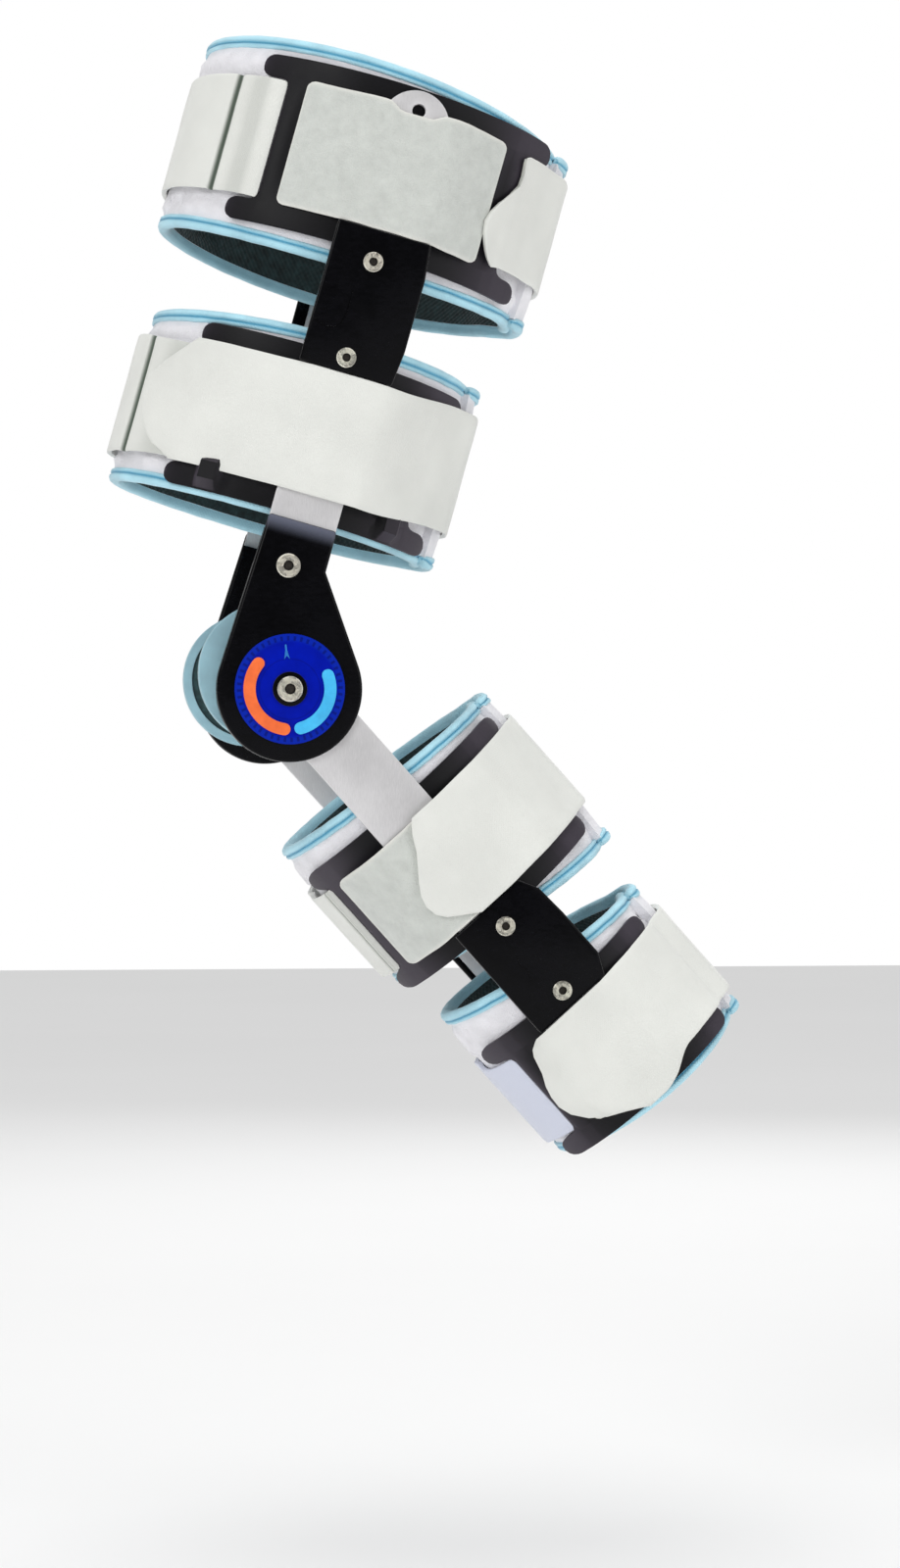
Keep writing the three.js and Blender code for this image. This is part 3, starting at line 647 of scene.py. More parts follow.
def felt_material(colours):
    """Loop felt: matted fibres in blotches of grey, paler at the cut edge."""
    base = tuple(colours.felt)
    tree, shader = start_material("felt", base, Roughness=1.0, Sheen_Weight=0.3, Sheen_Roughness=0.6)
    fibres = use_group(tree, "Mottle", "Object", Scale=190.0, Fine=9.0)
    blotches = noise_node(tree, coordinates(tree, "Object"), 110.0, 6.0, Roughness=0.7)
    both = math_node(tree, "MULTIPLY_ADD", fibres.outputs[0], 0.45, blotches)
    under = tint(tree, shader, math_node(tree, "SUBTRACT", both, 0.22), base, 0.93, 1.08)
    lay_over(tree, shader, under, painted(tree, "cut_edge"), (0.80, 0.80, 0.75))
    bump(tree, shader, fibres.outputs[1], 0.0007, 0.9)


def plastic_material(colours):
    """Satin moulded plastic: handling marks, and a painted violet sheen where it turns away."""
    base = tuple(colours.plastic)
    tree, shader = start_material("plastic", base, Roughness=0.4, Specular_IOR_Level=0.2)
    scuffs = use_group(tree, "Scuffs", "Object", Stretch=(1.0, 1.0, 3.0), Scale=500.0)
    under = tint(tree, shader, scuffs.outputs[0], base, 0.8, 1.7)
    # Painted sheen: violet grey where the surface turns away from the camera.
    lay_over(tree, shader, under, facing(tree), (0.056, 0.048, 0.062), 0.09, 0.42)
    vary_roughness(tree, shader, scuffs.outputs[0], 0.36, 0.55)
    bump(tree, shader, scuffs.outputs[1], 0.00008, 0.6)


def gloss_material(colours):
    """Glossy moulded cover, nearly black, with a clear top, faint marks and a painted grey neck
    reflection.
    """
    base = tuple(colours.gloss)
    tree, shader = start_material("gloss", base, Roughness=0.3, Specular_IOR_Level=0.1)
    scuffs = use_group(tree, "Scuffs", "Object", Stretch=(1.0, 1.0, 2.0), Scale=260.0)
    under = tint(tree, shader, scuffs.outputs[0], base, 0.8, 2.0)
    # Painted reflection: a grey band over the sloped top of the neck.
    under = lay_over(tree, shader, under, painted(tree, "neck_highlight"), (0.13, 0.14, 0.19))
    # Painted sheen: grey where the surface turns away from the camera.
    lay_over(tree, shader, under, facing(tree), (0.07, 0.07, 0.07), 0.3, 0.85)
    vary_roughness(tree, shader, scuffs.outputs[0], 0.16, 0.34)
    bump(tree, shader, scuffs.outputs[1], 0.00004, 0.4)


def aluminium_material(colours):
    """Satin aluminium, brushed along the leg."""
    base = tuple(colours.aluminium)
    tree, shader = start_material("aluminium", base, Roughness=0.42, Metallic=0.5)
    brushed = use_group(tree, "Scuffs", "Object", Stretch=(6.0, 6.0, 0.6), Scale=420.0)
    tint(tree, shader, brushed.outputs[0], base, 0.92, 1.07)
    vary_roughness(tree, shader, brushed.outputs[0], 0.36, 0.52)
    bump(tree, shader, brushed.outputs[1], 0.00005, 0.5)


def rivet_material(colours):
    """Pale rivet heads with fine turning marks."""
    base = tuple(colours.rivet)
    tree, shader = start_material("rivet", base, Roughness=0.3, Metallic=0.05)
    scuffs = use_group(tree, "Scuffs", "Object", Stretch=(1.0, 1.0, 1.0), Scale=900.0)
    tint(tree, shader, scuffs.outputs[0], base, 0.93, 1.05)
    vary_roughness(tree, shader, scuffs.outputs[0], 0.24, 0.36)
    bump(tree, shader, scuffs.outputs[1], 0.00001, 0.3)


def bore_material():
    """Painted shade: the dark bottom of a rivet's hollow."""
    base = (0.02, 0.016, 0.012)
    tree, shader = start_material("bore_shade", base, Roughness=0.7, Metallic=0.3)
    # Painted shade in the hollow, with a faint mottle.
    shade_mottle = use_group(tree, "Mottle", "Object", Scale=900.0, Fine=4.0)
    tint(tree, shader, shade_mottle.outputs[0], base, 0.6, 1.8)


def dial_material(colours):
    """Printed blue dial: a ring of fine dark ticks near its rim, on coordinates centred on the hinge."""
    base = tuple(colours.dial)
    tree, shader = start_material("dial", base, Roughness=0.4, Specular_IOR_Level=0.06)
    split = add_node(tree, "ShaderNodeSeparateXYZ", _0=coordinates(tree, "Object"))
    x, z = split.outputs[0], split.outputs[2]
    radius = math_node(
        tree, "SQRT", math_node(tree, "MULTIPLY_ADD", z, z, math_node(tree, "MULTIPLY", x, x)))
    turn = math_node(tree, "MULTIPLY", math_node(tree, "ARCTAN2", z, x), DIAL_TICKS)
    ticks = math_node(tree, "GREATER_THAN", math_node(tree, "SINE", turn), 0.35)
    rim_mask = math_node(tree, "COMPARE", radius, 0.0243, 0.0011)
    groove = math_node(tree, "COMPARE", radius, 0.0145, 0.00025)
    marks = math_node(tree, "MULTIPLY", math_node(tree, "MULTIPLY", ticks, rim_mask), 0.55)
    marks = math_node(tree, "MAXIMUM", marks, math_node(tree, "MULTIPLY", groove, 0.4))
    clouds = use_group(tree, "Mottle", "Object", Scale=120.0, Fine=6.0)
    under = tint(tree, shader, clouds.outputs[0], base, 0.85, 1.15)
    under = lay_over(tree, shader, under, radius, (0.002, 0.02, 0.40), 0.0222, 0.0240)
    lay_over(tree, shader, under, marks, (0.001, 0.003, 0.09))
    bump(tree, shader, marks, 0.0001, -0.6)


def print_material(name, base):
    """A bright moulded inlay of the dial."""
    tree, shader = start_material(name, base, Roughness=0.45, Specular_IOR_Level=0.3)
    clouds = use_group(tree, "Mottle", "Object", Scale=200.0, Fine=5.0)
    tint(tree, shader, clouds.outputs[0], base, 0.88, 1.1)
    bump(tree, shader, clouds.outputs[1], 0.0001, 0.5)


def foam_material(colours):
    """Knit face of the hinge pad."""
    base = tuple(c * 1.6 for c in colours.lining)
    tree, shader = start_material("foam", base, Roughness=0.95, Sheen_Weight=0.25)
    knit = use_group(tree, "Mottle", "Object", Scale=420.0, Fine=4.0)
    tint(tree, shader, knit.outputs[0], base, 0.6, 1.6)
    bump(tree, shader, knit.outputs[1], 0.0006)


def floor_material():
    base = (0.9, 0.9, 0.9)
    tree, shader = start_material("floor", base, Roughness=0.9)
    clouds = use_group(tree, "Mottle", "Object", Scale=1.5, Fine=20.0)
    tint(tree, shader, clouds.outputs[0], base, 0.99, 1.01)


# Strap and patch profiles.
def bar_need(cuff, angle, along, bar_top):
    """The height that clears the bar's flat face at one angle, or 0 beside the bar."""
    limb = limb_of(cuff)
    x, y = cuff_flat(cuff, angle, 0, along)
    slope = abs(cuff_flat(cuff, angle, 1, along)[1] - y)
    if abs(x - limb["bar_x"]) > BAR_REACH or slope < 0.5:
        return 0.0
    return (bar_inner(limb, along) + bar_top - abs(y)) / slope


def taut_profile(cuff, start, end, levels, bar_top, along):
    """Heights of a taut band from start down to end, in steps of one degree."""
    angles = [start - k for k in range(int(start - end) + 2)]
    raw = []
    for angle in angles:
        level = max((height for high, low, height in levels if high >= angle >= low), default=0.0)
        raw.append(max(level, bar_need(cuff, angle, along, bar_top)))
    cone = [
        max(raw[m] - STRAP_SLOPE * abs(m - k) for m in range(max(0, k - 30), min(len(raw), k + 31)))
        for k in range(len(raw))]
    heights = []
    for k in range(len(cone)):
        near = cone[max(0, k - 3):k + 4]
        heights.append(max(raw[k] + 0.05, sum(near) / len(near) + 0.1))

    def height(angle):
        spot = min(max(start - angle, 0), len(heights) - 1.001)
        low = int(spot)
        return mix(heights[low], heights[low + 1], spot - low)

    return height


def plate_span(cuff):
    return outer_angle(cuff, cuff["plate"][1]), outer_angle(cuff, cuff["plate"][0])


def patch_profile(cuff, sizes):
    high, low = plate_span(cuff)
    start, end = (outer_angle(cuff, x) for x in reversed(cuff["patch"]["x"]))
    bar_top = sizes.bar / MM + CLEARANCE
    return taut_profile(
        cuff, start, end, [(high, low, PLATE_FACE + 0.2)], bar_top, sum(cuff["patch"]["along"]) / 2)


def strap_levels(cuff, sizes, start):
    high, low = plate_span(cuff)
    over_plate = PLATE_FACE + STRAP_SEAT
    own = 2 * STRAP_SEAT + sizes.strap / MM + 2.4
    return [
        (0, -720, STRAP_SEAT), (FLAP_RAMP, FLAP_END, FLAP_RISE + STRAP_SEAT),
        (-360 - low, -360 - high, over_plate), (high - 360, low - 360, over_plate),
        (start - 360, -720, own),
    ]


def fold_height(cuff, start, angle):
    """The roll of a strap's fold behind the front upright, its slit, and the band that leaves it."""
    slit = cuff["slit"]
    if angle > slit:
        share = min(1, (start - angle) / (start - slit))
        return 2.8 * max(0, math.sin(math.pi * share)) ** 0.6
    past = slit - angle
    return 2.5 * smooth(past, 0.3, 1.4) * (1 - smooth(past, 14, 50))


def tongue_x(cuff, along):
    """x of a strap's rounded end at a place across the strap, on a curve through the table's points."""
    points = cuff["tongue"]
    slopes = []
    for k in range(len(points)):
        before, after = points[max(0, k - 1)], points[min(len(points) - 1, k + 1)]
        slopes.append((after[1] - before[1]) / (after[0] - before[0]))
    along = min(max(along, points[0][0]), points[-1][0])
    k = max(n for n in range(len(points) - 1) if points[n][0] <= along)
    (low, first), (high, last) = points[k:k + 2]
    t = (along - low) / (high - low)
    width = high - low
    return (
        first * (1 - 3 * t ** 2 + 2 * t ** 3) + last * (3 * t ** 2 - 2 * t ** 3)
        + width * slopes[k] * (t - 2 * t ** 2 + t ** 3) + width * slopes[k + 1] * (t ** 3 - t ** 2))


def tongue_angle(cuff, x):
    return outer_angle(cuff, x) - 360


def strap_profile(cuff, sizes):
    """A strap's height over the wall, its start, and where its tongue begins to close."""
    start = outer_angle(cuff, cuff["web"][0] - 0.6)
    reach = [x for _, x in cuff["tongue"]]
    end = tongue_angle(cuff, max(reach) + 1.5)
    levels = strap_levels(cuff, sizes, start)
    bar_top = sizes.bar / MM + STRAP_SEAT
    if "patch" in cuff:
        patch = patch_profile(cuff, sizes)
        first, last = (outer_angle(cuff, x) for x in reversed(cuff["patch"]["x"]))
        top = sizes.patch / MM + STRAP_SEAT
        levels += [
            (a - 359.5, a - 360.5, patch(a) + top)
            for a in [first - k for k in range(int(first - last) + 1)]]
    tip = tongue_angle(cuff, min(reach) - 1)
    body = taut_profile(cuff, start, tip, levels, bar_top, sum(cuff["strap"]) / 2)
    horn = outer_angle(cuff, cuff["plate"][0]) - 4
    uprights = [outer_angle(cuff, x) for x in (cuff["web"][0] + 3.5, cuff["web"][1] - 3.5)]

    def height(angle):
        base = body(angle) if angle < horn else STRAP_SEAT
        if cuff["slit"] is not None and angle > cuff["slit"] - 50:
            base = max(base, STRAP_SEAT + fold_height(cuff, start, angle))
            if abs(angle - cuff["slit"]) < 0.9:
                base = STRAP_SEAT + fold_height(cuff, start, angle)
        ridges = sum(math.exp(-((angle + 360 - u) / 2.5) ** 2) for u in uprights)
        return base + 0.6 * ridges

    return height, start, end


def columns_between(start, end, step):
    count = max(2, math.ceil((start - end) / step))
    return [mix(start, end, k / count) for k in range(count + 1)]


# Operators, one for each kind of piece.
class BRACE_OT_materials(bpy.types.Operator):
    """Make the finishes and the shader groups that they share"""
    bl_idname = "brace.materials"
    bl_label = "Finishes"

    def execute(self, context):
        colours = context.scene.brace_colours
        for build in (mottle_group, weave_group, scuff_group, blend_group):
            group = build()
            GROUPS[group.name] = group
        for build in (
                fleece_material, lining_material, binding_material, webbing_material, felt_material,
                plastic_material, gloss_material, aluminium_material, rivet_material, dial_material,
                foam_material):
            build(colours)
        bore_material()
        floor_material()
        print_material("orange", tuple(colours.orange))
        print_material("cyan", tuple(colours.cyan))
        print_material("faded", tuple(mix(b, c, 0.35) for b, c in zip(colours.dial, colours.cyan)))
        return {"FINISHED"}


class BRACE_OT_wraps(bpy.types.Operator):
    """Make the padded wall of each cuff, lapped behind the leg"""
    bl_idname = "brace.wraps"
    bl_label = "Padded wraps"

    def execute(self, context):
        for number, cuff in enumerate(CUFFS):
            self.make(cuff, context.scene.brace_sizes, number)
        return {"FINISHED"}

    def make(self, cuff, sizes, number):
        angles = columns_between(WALL_START, FLAP_END, 1.8)
        rows = 24
        margin = sizes.edge / MM - 1.2
        wall = sizes.wall / MM

        def place(i, j):
            angle = angles[i]
            share = j / rows
            near = rim(cuff, angle, "near") + margin
            far = rim(cuff, angle, "far") - margin
            along = mix(near, far, share)
            tuck = 0.9 * (1 - min(1, 5 * min(share, 1 - share)))
            ripple = 0.45 * (fuzz((angle, along), 0.045, number) - 0.5)
            return cuff_point(cuff, angle, wall_rise(angle) - tuck + ripple, along)

        piece, length, height = bent_grid(f"{cuff['name']}_padded_wall", len(angles) - 1, rows, place)
        face_out(piece, cuff_axis(cuff))
        finish(piece, limb_of(cuff), "fleece", [f"{cuff['name']}_wrap"], "fleece", "lining")
        thicken(piece, (wall - 0.6) * MM, lining=True)
        held = [self.hold(cuff, angles, rows, index) for index in range(len(angles) * (rows + 1))]
        swell(piece, held * 2, 1.8 * MM)
        shade(piece, 60)

    def hold(self, cuff, angles, rows, index):
        """How firmly a point is held: wholly under the plates, the strap, the lap and the bindings."""
        angle = angles[index % len(angles)]
        share = index // len(angles) / rows
        near, far = rim(cuff, angle, "near"), rim(cuff, angle, "far")
        along = mix(near, far, share)
        edge = 1 - smooth(min(share, 1 - share), 0.02, 0.1)
        low, high = cuff["strap"]
        strap = smooth(along, low - 9, low - 2) * (1 - smooth(along, high + 2, high + 9))
        span = plate_span(cuff)
        plates = 0.0
        for first, last in (span, (-360 - span[1], -360 - span[0]), (span[0] - 360, span[1] - 360)):
            rise = smooth(-angle, -first - 5, -first)
            plates = max(plates, rise * (1 - smooth(-angle, -last, -last + 5)))
        lap = 1.0 if angle > WALL_START - 14 or angle < FLAP_RAMP else 0.0
        return max(edge, strap, plates, lap)


class BRACE_OT_edges(bpy.types.Operator):
    """Make the bound edges: a rolled tape with a sewn groove round each rim"""
    bl_idname = "brace.edges"
    bl_label = "Bound edges"

    # Points of the tape's section: height over the wall's face, and depth from the rim.
    SECTION = (
        (-5.4, 5.9), (-5.9, 4.4), (-5.8, 2.4), (-4.9, 0.7), (-3.3, 0.05), (-1.7, 0.0), (-0.3, 0.7),
        (0.45, 2.0), (0.5, 3.1), (-0.5, 3.9), (0.3, 4.6), (0.25, 5.7), (-0.5, 6.3))
    # Painted shade for each point of the section: dark in the sewn groove and on the tape's lower side.
    GROOVE_SHADE = (0.2, 0.3, 0.3, 0.1, 0, 0, 0, 0.05, 0.45, 1, 0.5, 0.05, 0.1)

    def execute(self, context):
        for number, cuff in enumerate(CUFFS):
            for which in ("near", "far"):
                self.make(cuff, which, number)
        return {"FINISHED"}

    def make(self, cuff, which, number):
        angles = columns_between(WALL_START, FLAP_END, 2.2)
        section = self.SECTION
        inward = 1 if which == "near" else -1
        is_top = (which == "far") == (cuff["limb"] == "thigh")
        name = f"{cuff['name']}_edge_{'top' if is_top else 'bottom'}"

        def place(i, j):
            angle = angles[i]
            height, depth = section[j % len(section)]
            crumple = smooth(-angle, 335, 372) + 0.25
            pucker = 0.9 * crumple * fuzz((angle, depth), 0.16, number + 10 * inward)
            end = min(i, len(angles) - 1 - i)
            shrink = 1 if end > 1 else (0.4, 0.85)[end]
            height = -2.7 + (height + 2.7) * shrink + pucker * 0.6
            depth = 3.1 + (depth - 3.1) * shrink + pucker
            along = rim(cuff, angle, which) + inward * depth
            return cuff_point(cuff, angle, wall_rise(angle) + height, along)

        piece, _, _ = bent_grid(f"{name}_tape", len(angles) - 1, len(section), place)
        # Painted shade for the groove and the tape's lower side, read by the binding finish.
        paint(piece, "groove_shade", lambda index: self.GROOVE_SHADE[index // len(angles) % len(section)])
        edit(
            piece,
            lambda: bpy.ops.mesh.remove_doubles(threshold=1e-6),
            lambda: bpy.ops.mesh.select_all(action="DESELECT"),
            bpy.ops.mesh.select_non_manifold,
            bpy.ops.mesh.edge_face_add,
            lambda: bpy.ops.mesh.select_all(action="SELECT"),
            lambda: bpy.ops.mesh.normals_make_consistent(inside=False))
        finish(piece, limb_of(cuff), "binding", [name], "binding", degrees=60)


class BRACE_OT_plates(bpy.types.Operator):
    """Make the black plates: two rounded rails joined by a sunk web between two uprights"""
    bl_idname = "brace.plates"
    bl_label = "Side plates"

    ROUND = 4.5
    FILLET = 4.0
    UPRIGHT = 7.0
    HOOK_REACH = 3.0

    def execute(self, context):
        for cuff in CUFFS:
            for side in SIDES:
                self.make(cuff, side, context.scene.brace_sizes)
        return {"FINISHED"}

    def distances(self, cuff, plate):
        """x of each column, with close ones where an end is rounded or a corner is filled."""
        low, high = plate
        web_low, web_high = cuff["web"]
        ends = [0, 0.4, 1.4, 3.0, self.ROUND]
        corner = [-self.FILLET, -2.4, -1.0, 0, 1.2, self.UPRIGHT - 1.2, self.UPRIGHT]
        xs = [low + d for d in ends] + [high - d for d in ends]
        xs += [web_low + d for d in corner] + [web_high - d for d in corner]
        for middle, half, _ in cuff.get("hooks", ()):
            xs += [middle + d * half for d in (-1.3, -1.1, -0.9, -0.7, 0.7, 0.9, 1.1, 1.3)]
        step = (web_high - web_low - 2 * self.UPRIGHT) / 16
        xs += [web_low + self.UPRIGHT + step * k for k in range(1, 16)]
        xs = sorted(x for x in xs if low <= x <= high)
        return [x for k, x in enumerate(xs) if k == 0 or x - xs[k - 1] > 0.25]

    def make(self, cuff, side, sizes):
        plate = list(cuff["plate"])
        if side == "inner":
            plate[0] = max(plate[0], min(cuff["centre"] - 0.9 * cuff["depth"], cuff["web"][0] - 1))
        xs = self.distances(cuff, plate)
        (near_low, near_high), (far_low, far_high) = cuff["rails"]
        web_low, web_high = cuff["web"]
        rows = [near_low, near_low + 0.9, (near_low + near_high) / 2, near_high - 0.9, near_high]
        rows += [mix(near_high, far_low, k / 6) for k in range(1, 6)]
        rows += [far_low, far_low + 0.9, (far_low + far_high) / 2, far_high - 0.9, far_high]

        def inset(x):
            distance = min(x - plate[0], plate[1] - x)
            if distance >= self.ROUND:
                return 0.0
            return self.ROUND - math.sqrt(self.ROUND ** 2 - (self.ROUND - distance) ** 2)

        def fillet(x):
            distance = max(web_low - x, x - web_high)
            if distance < 0 or distance >= self.FILLET:
                return 0.0
            return self.FILLET - math.sqrt(self.FILLET ** 2 - (self.FILLET - distance) ** 2)

        def hook(x):
            """Share and height of a hook at x."""
            shares = [
                (1 - smooth(abs(x - middle) / half, 0.7, 1.3), height)
                for middle, half, height in cuff.get("hooks", ())]
            return max(shares, default=(0, 0))

        def place(i, j):
            x = xs[i]
            along = rows[j]
            cut_in = inset(x)
            grow = fillet(x)
            if j <= 1:
                along += cut_in
            elif j in (3, 4):
                along += grow - cut_in + self.HOOK_REACH * hook(x)[0]
            elif j in (10, 11):
                along += cut_in - grow
            elif j >= 13:
                along -= cut_in
            sunk = web_low + self.UPRIGHT - 0.1 < x < web_high - self.UPRIGHT + 0.1 and 4 < j < 10
            face = WEB_FACE if sunk else PLATE_FACE
            crown = 0.25 if j in (2, 12) else 0.0
            if j in (2, 3, 4):
                crown += math.prod(hook(x))
            return cuff_point(
                cuff, outer_angle(cuff, x), face - 0.25 + crown, along, SIDES[side])

        def keep(i, j):
            inside = xs[i] > web_low - 0.1 and xs[i + 1] < web_high + 0.1
            return inside or j < 4 or j >= 10

        piece, _, _ = bent_grid(
            f"{cuff['name']}_{side}_plate", len(xs) - 1, len(rows) - 1, place, keep)
        face_out(piece, cuff_axis(cuff))
        thicken(piece, sizes.plate)
        round_edges(piece, 0.7 * MM, 2, 60)
        finish(
            piece, limb_of(cuff), "plate_plastic", [f"{cuff['name']}_plate_{side}"], "plastic",
            degrees=35)


class BRACE_OT_patches(bpy.types.Operator):
    """Make the felt patches that lie over the bars"""
    bl_idname = "brace.patches"
    bl_label = "Felt patches"

    CORNER = 3.4

    def execute(self, context):
        for number, cuff in enumerate(CUFFS):
            if "patch" in cuff:
                self.make(cuff, context.scene.brace_sizes, number)
        return {"FINISHED"}

    def make(self, cuff, sizes, number):
        height = patch_profile(cuff, sizes)
        near, far = cuff["patch"]["along"]
        low, high = cuff["patch"]["x"]
        ends = [0, 0.4, 1.5, 3.0, self.CORNER]
        count = 36
        inner = [mix(low + self.CORNER, high - self.CORNER, k / count) for k in range(1, count)]
        xs = [low + d for d in ends] + inner + [high - d for d in reversed(ends)]
        rows = [0, 0.02, 0.05] + [k / 10 for k in range(1, 10)] + [0.95, 0.98, 1]

        def place(i, j):
            x = xs[i]
            distance = min(x - low, high - x)
            cut_in = 0.0
            if distance < self.CORNER:
                cut_in = self.CORNER - math.sqrt(self.CORNER ** 2 - (self.CORNER - distance) ** 2)
            wander = 0.3 * fuzz((x, rows[j] * 40), 0.12, number)
            middle, depth = cuff["patch"].get("notch", (0, 0))
            notch = depth * (1 - smooth(abs(x - middle), 6, 13))
            along = mix(near + cut_in, far - cut_in - notch, rows[j]) + wander
            angle = outer_angle(cuff, x)
            lift = height(angle) + sizes.patch / MM + 0.2 * fuzz((x, along), 0.2, number + 5)
            return cuff_point(cuff, angle, lift, along)

        piece, length, width = bent_grid(
            f"{cuff['name']}_felt_patch", len(xs) - 1, len(rows) - 1, place)

        def paleness(index):
            i, j = index % len(xs), index // len(xs)
            border = min(i, len(xs) - 1 - i, j, len(rows) - 1 - j)
            return (0.95, 0.45)[border] if border < 2 else 0.0

        paint(piece, "cut_edge", paleness)
        face_out(piece, cuff_axis(cuff))
        thicken(piece, sizes.patch)
        round_edges(piece, 0.4 * MM, 2, 60)
        finish(piece, limb_of(cuff), "felt", [f"{cuff['name']}_patch"], "felt", degrees=50)


class BRACE_OT_straps(bpy.types.Operator):
    """Make the straps: a fold at the front upright, once round the leg, to a rounded tongue"""
    bl_idname = "brace.straps"
    bl_label = "Straps"

    def execute(self, context):
        for number, cuff in enumerate(CUFFS):
            self.make(cuff, context.scene.brace_sizes, number)
        return {"FINISHED"}

    def extent(self, cuff, angle):
        """Where a strap's two edges lie at an angle."""
        horn = outer_angle(cuff, cuff["plate"][0]) - 2
        widened = smooth(horn - angle, 0, STRAP_WIDEN)
        near = mix(cuff["strap_start"][0], cuff["strap"][0], widened)
        far = mix(cuff["strap_start"][1], cuff["strap"][1], widened)
        x = cuff["centre"] + cuff["depth"] * math.cos(math.radians(angle))
        rise = cuff.get("rise", 0) * smooth(x, 5, 52)
        if "droop" in cuff and angle < -360:
            low, high, depth = cuff["droop"]
            far += depth * (1 - smooth(x, low, high))
        return near + rise, far + rise

    def make(self, cuff, sizes, number):
        height, start, end = strap_profile(cuff, sizes)
        slit = cuff["slit"]
        angles = columns_between(start, end, 2.0)
        if slit is not None:
            angles = [a for a in angles if abs(a - slit) > 2.6]
            angles += [slit + d for d in (-2.4, -1.5, -1.0, -0.6, -0.25, 0.05, 0.3, 0.7, 1.3, 2.2)]
        angles.sort(reverse=True)
        body = len(angles) - 1
        tip = tongue_angle(cuff, min(x for _, x in cuff["tongue"]))
        rows = [0, 0.015, 0.05, 0.1, 0.17, 0.25, 0.35, 0.45, 0.55, 0.65, 0.75, 0.83, 0.9, 0.95, 0.985, 1]
        thick = sizes.strap / MM

        def place(i, j):
            share = max(0, i - body) / TIP_COLUMNS
            angle = angles[min(i, body)]
            near, far = self.extent(cuff, mix(angle, tip, share))
            along = mix(near, far, rows[j])
            if share:
                angle = mix(end, tongue_angle(cuff, tongue_x(cuff, along)), share)
            dip = 0.35 if j in (0, len(rows) - 1) or share == 1 else 0.0
            wave = 0.35 * fuzz((angle * 1.3, along), 0.05, number + 20)
            wave *= smooth(abs(angle - end), 4, 16)
            lift = height(angle) + thick - dip + max(0, wave)
            return cuff_point(cuff, angle, lift, along)

        piece, length, width = bent_grid(
            f"{cuff['name']}_strap_band", body + TIP_COLUMNS, len(rows) - 1, place)

        def angle_of(index):
            return angles[min(index % (body + TIP_COLUMNS + 1), body)]

        def crease_shade(index):
            """Painted shade: the dark line of the slit, and the fold's shaded valley before it."""
            if slit is None:
                return 0.0
            share = (start - angle_of(index)) / (start - slit)
            valley = 0.3 * smooth(share, 0.15, 0.35) * (1 - smooth(share, 0.5, 0.85))
            return max(1 - smooth(abs(angle_of(index) - slit + 0.1), 0.4, 1.3), valley)

        paint(piece, "crease_shade", crease_shade)
        paint(
            piece, "cool", lambda index: 0.0 if slit else 1 - smooth(start - angle_of(index), 50, 90))
        face_out(piece, cuff_axis(cuff))
        thicken(piece, sizes.strap)
        edit(piece, lambda: bpy.ops.mesh.remove_doubles(threshold=2e-5))
        round_edges(piece, 0.5 * MM, 2, 60)
        finish(piece, limb_of(cuff), "webbing", [f"{cuff['name']}_strap"], "webbing", degrees=50)


class BRACE_OT_bars(bpy.types.Operator):
    """Make the aluminium bars, bent to follow the limb"""
    bl_idname = "brace.bars"
    bl_label = "Side bars"

    def execute(self, context):
        for side in SIDES:
            for name in LIMBS:
                self.make(name, side, context.scene.brace_sizes)
        return {"FINISHED"}

    def make(self, name, side, sizes):
        limb = LIMBS[name]
        bar = BARS[name]
        half = sizes.bar_width / MM / 2
        low = HINGE_HALF_WIDTH
        far_end = [
            (limb["bar_x"] + half * math.cos(t), bar["end"] - half + half * math.sin(t))
            for t in [math.pi * k / 24 for k in range(25)]]
        if bar["start"] < 0:
            radius = -bar["start"]
            low_turn = math.radians(-14)
            near_end = [
                (radius * math.cos(t), radius * math.sin(t))
                for t in [mix(math.pi - low_turn, 2 * math.pi + low_turn, k / 24) for k in range(25)]]
        else:
            near_end = [(limb["bar_x"] - half, bar["start"]), (limb["bar_x"] + half, bar["start"])]
        piece = outline_solid(f"{side}_{name}_side_bar", far_end + near_end, low, low + sizes.bar / MM)
        if bar["hole"]:
            cut(piece, outline_solid(
                "drill", round_points((limb["bar_x"], bar["hole"]), 3.2, 32), low - 5, low + 10))
        for along in (limb["bend"], 0.5 * (limb["bend"] + bar["end"])):
            edit(piece, lambda: bpy.ops.mesh.bisect(plane_co=(0, 0, along), plane_no=(0, 0, 1)))
        round_edges(piece, 0.45)
        place_on_limb(piece, limb, SIDES[side])
        finish(piece, limb, "bar_aluminium", [f"{side}_{name}_bar"], "aluminium", degrees=35)


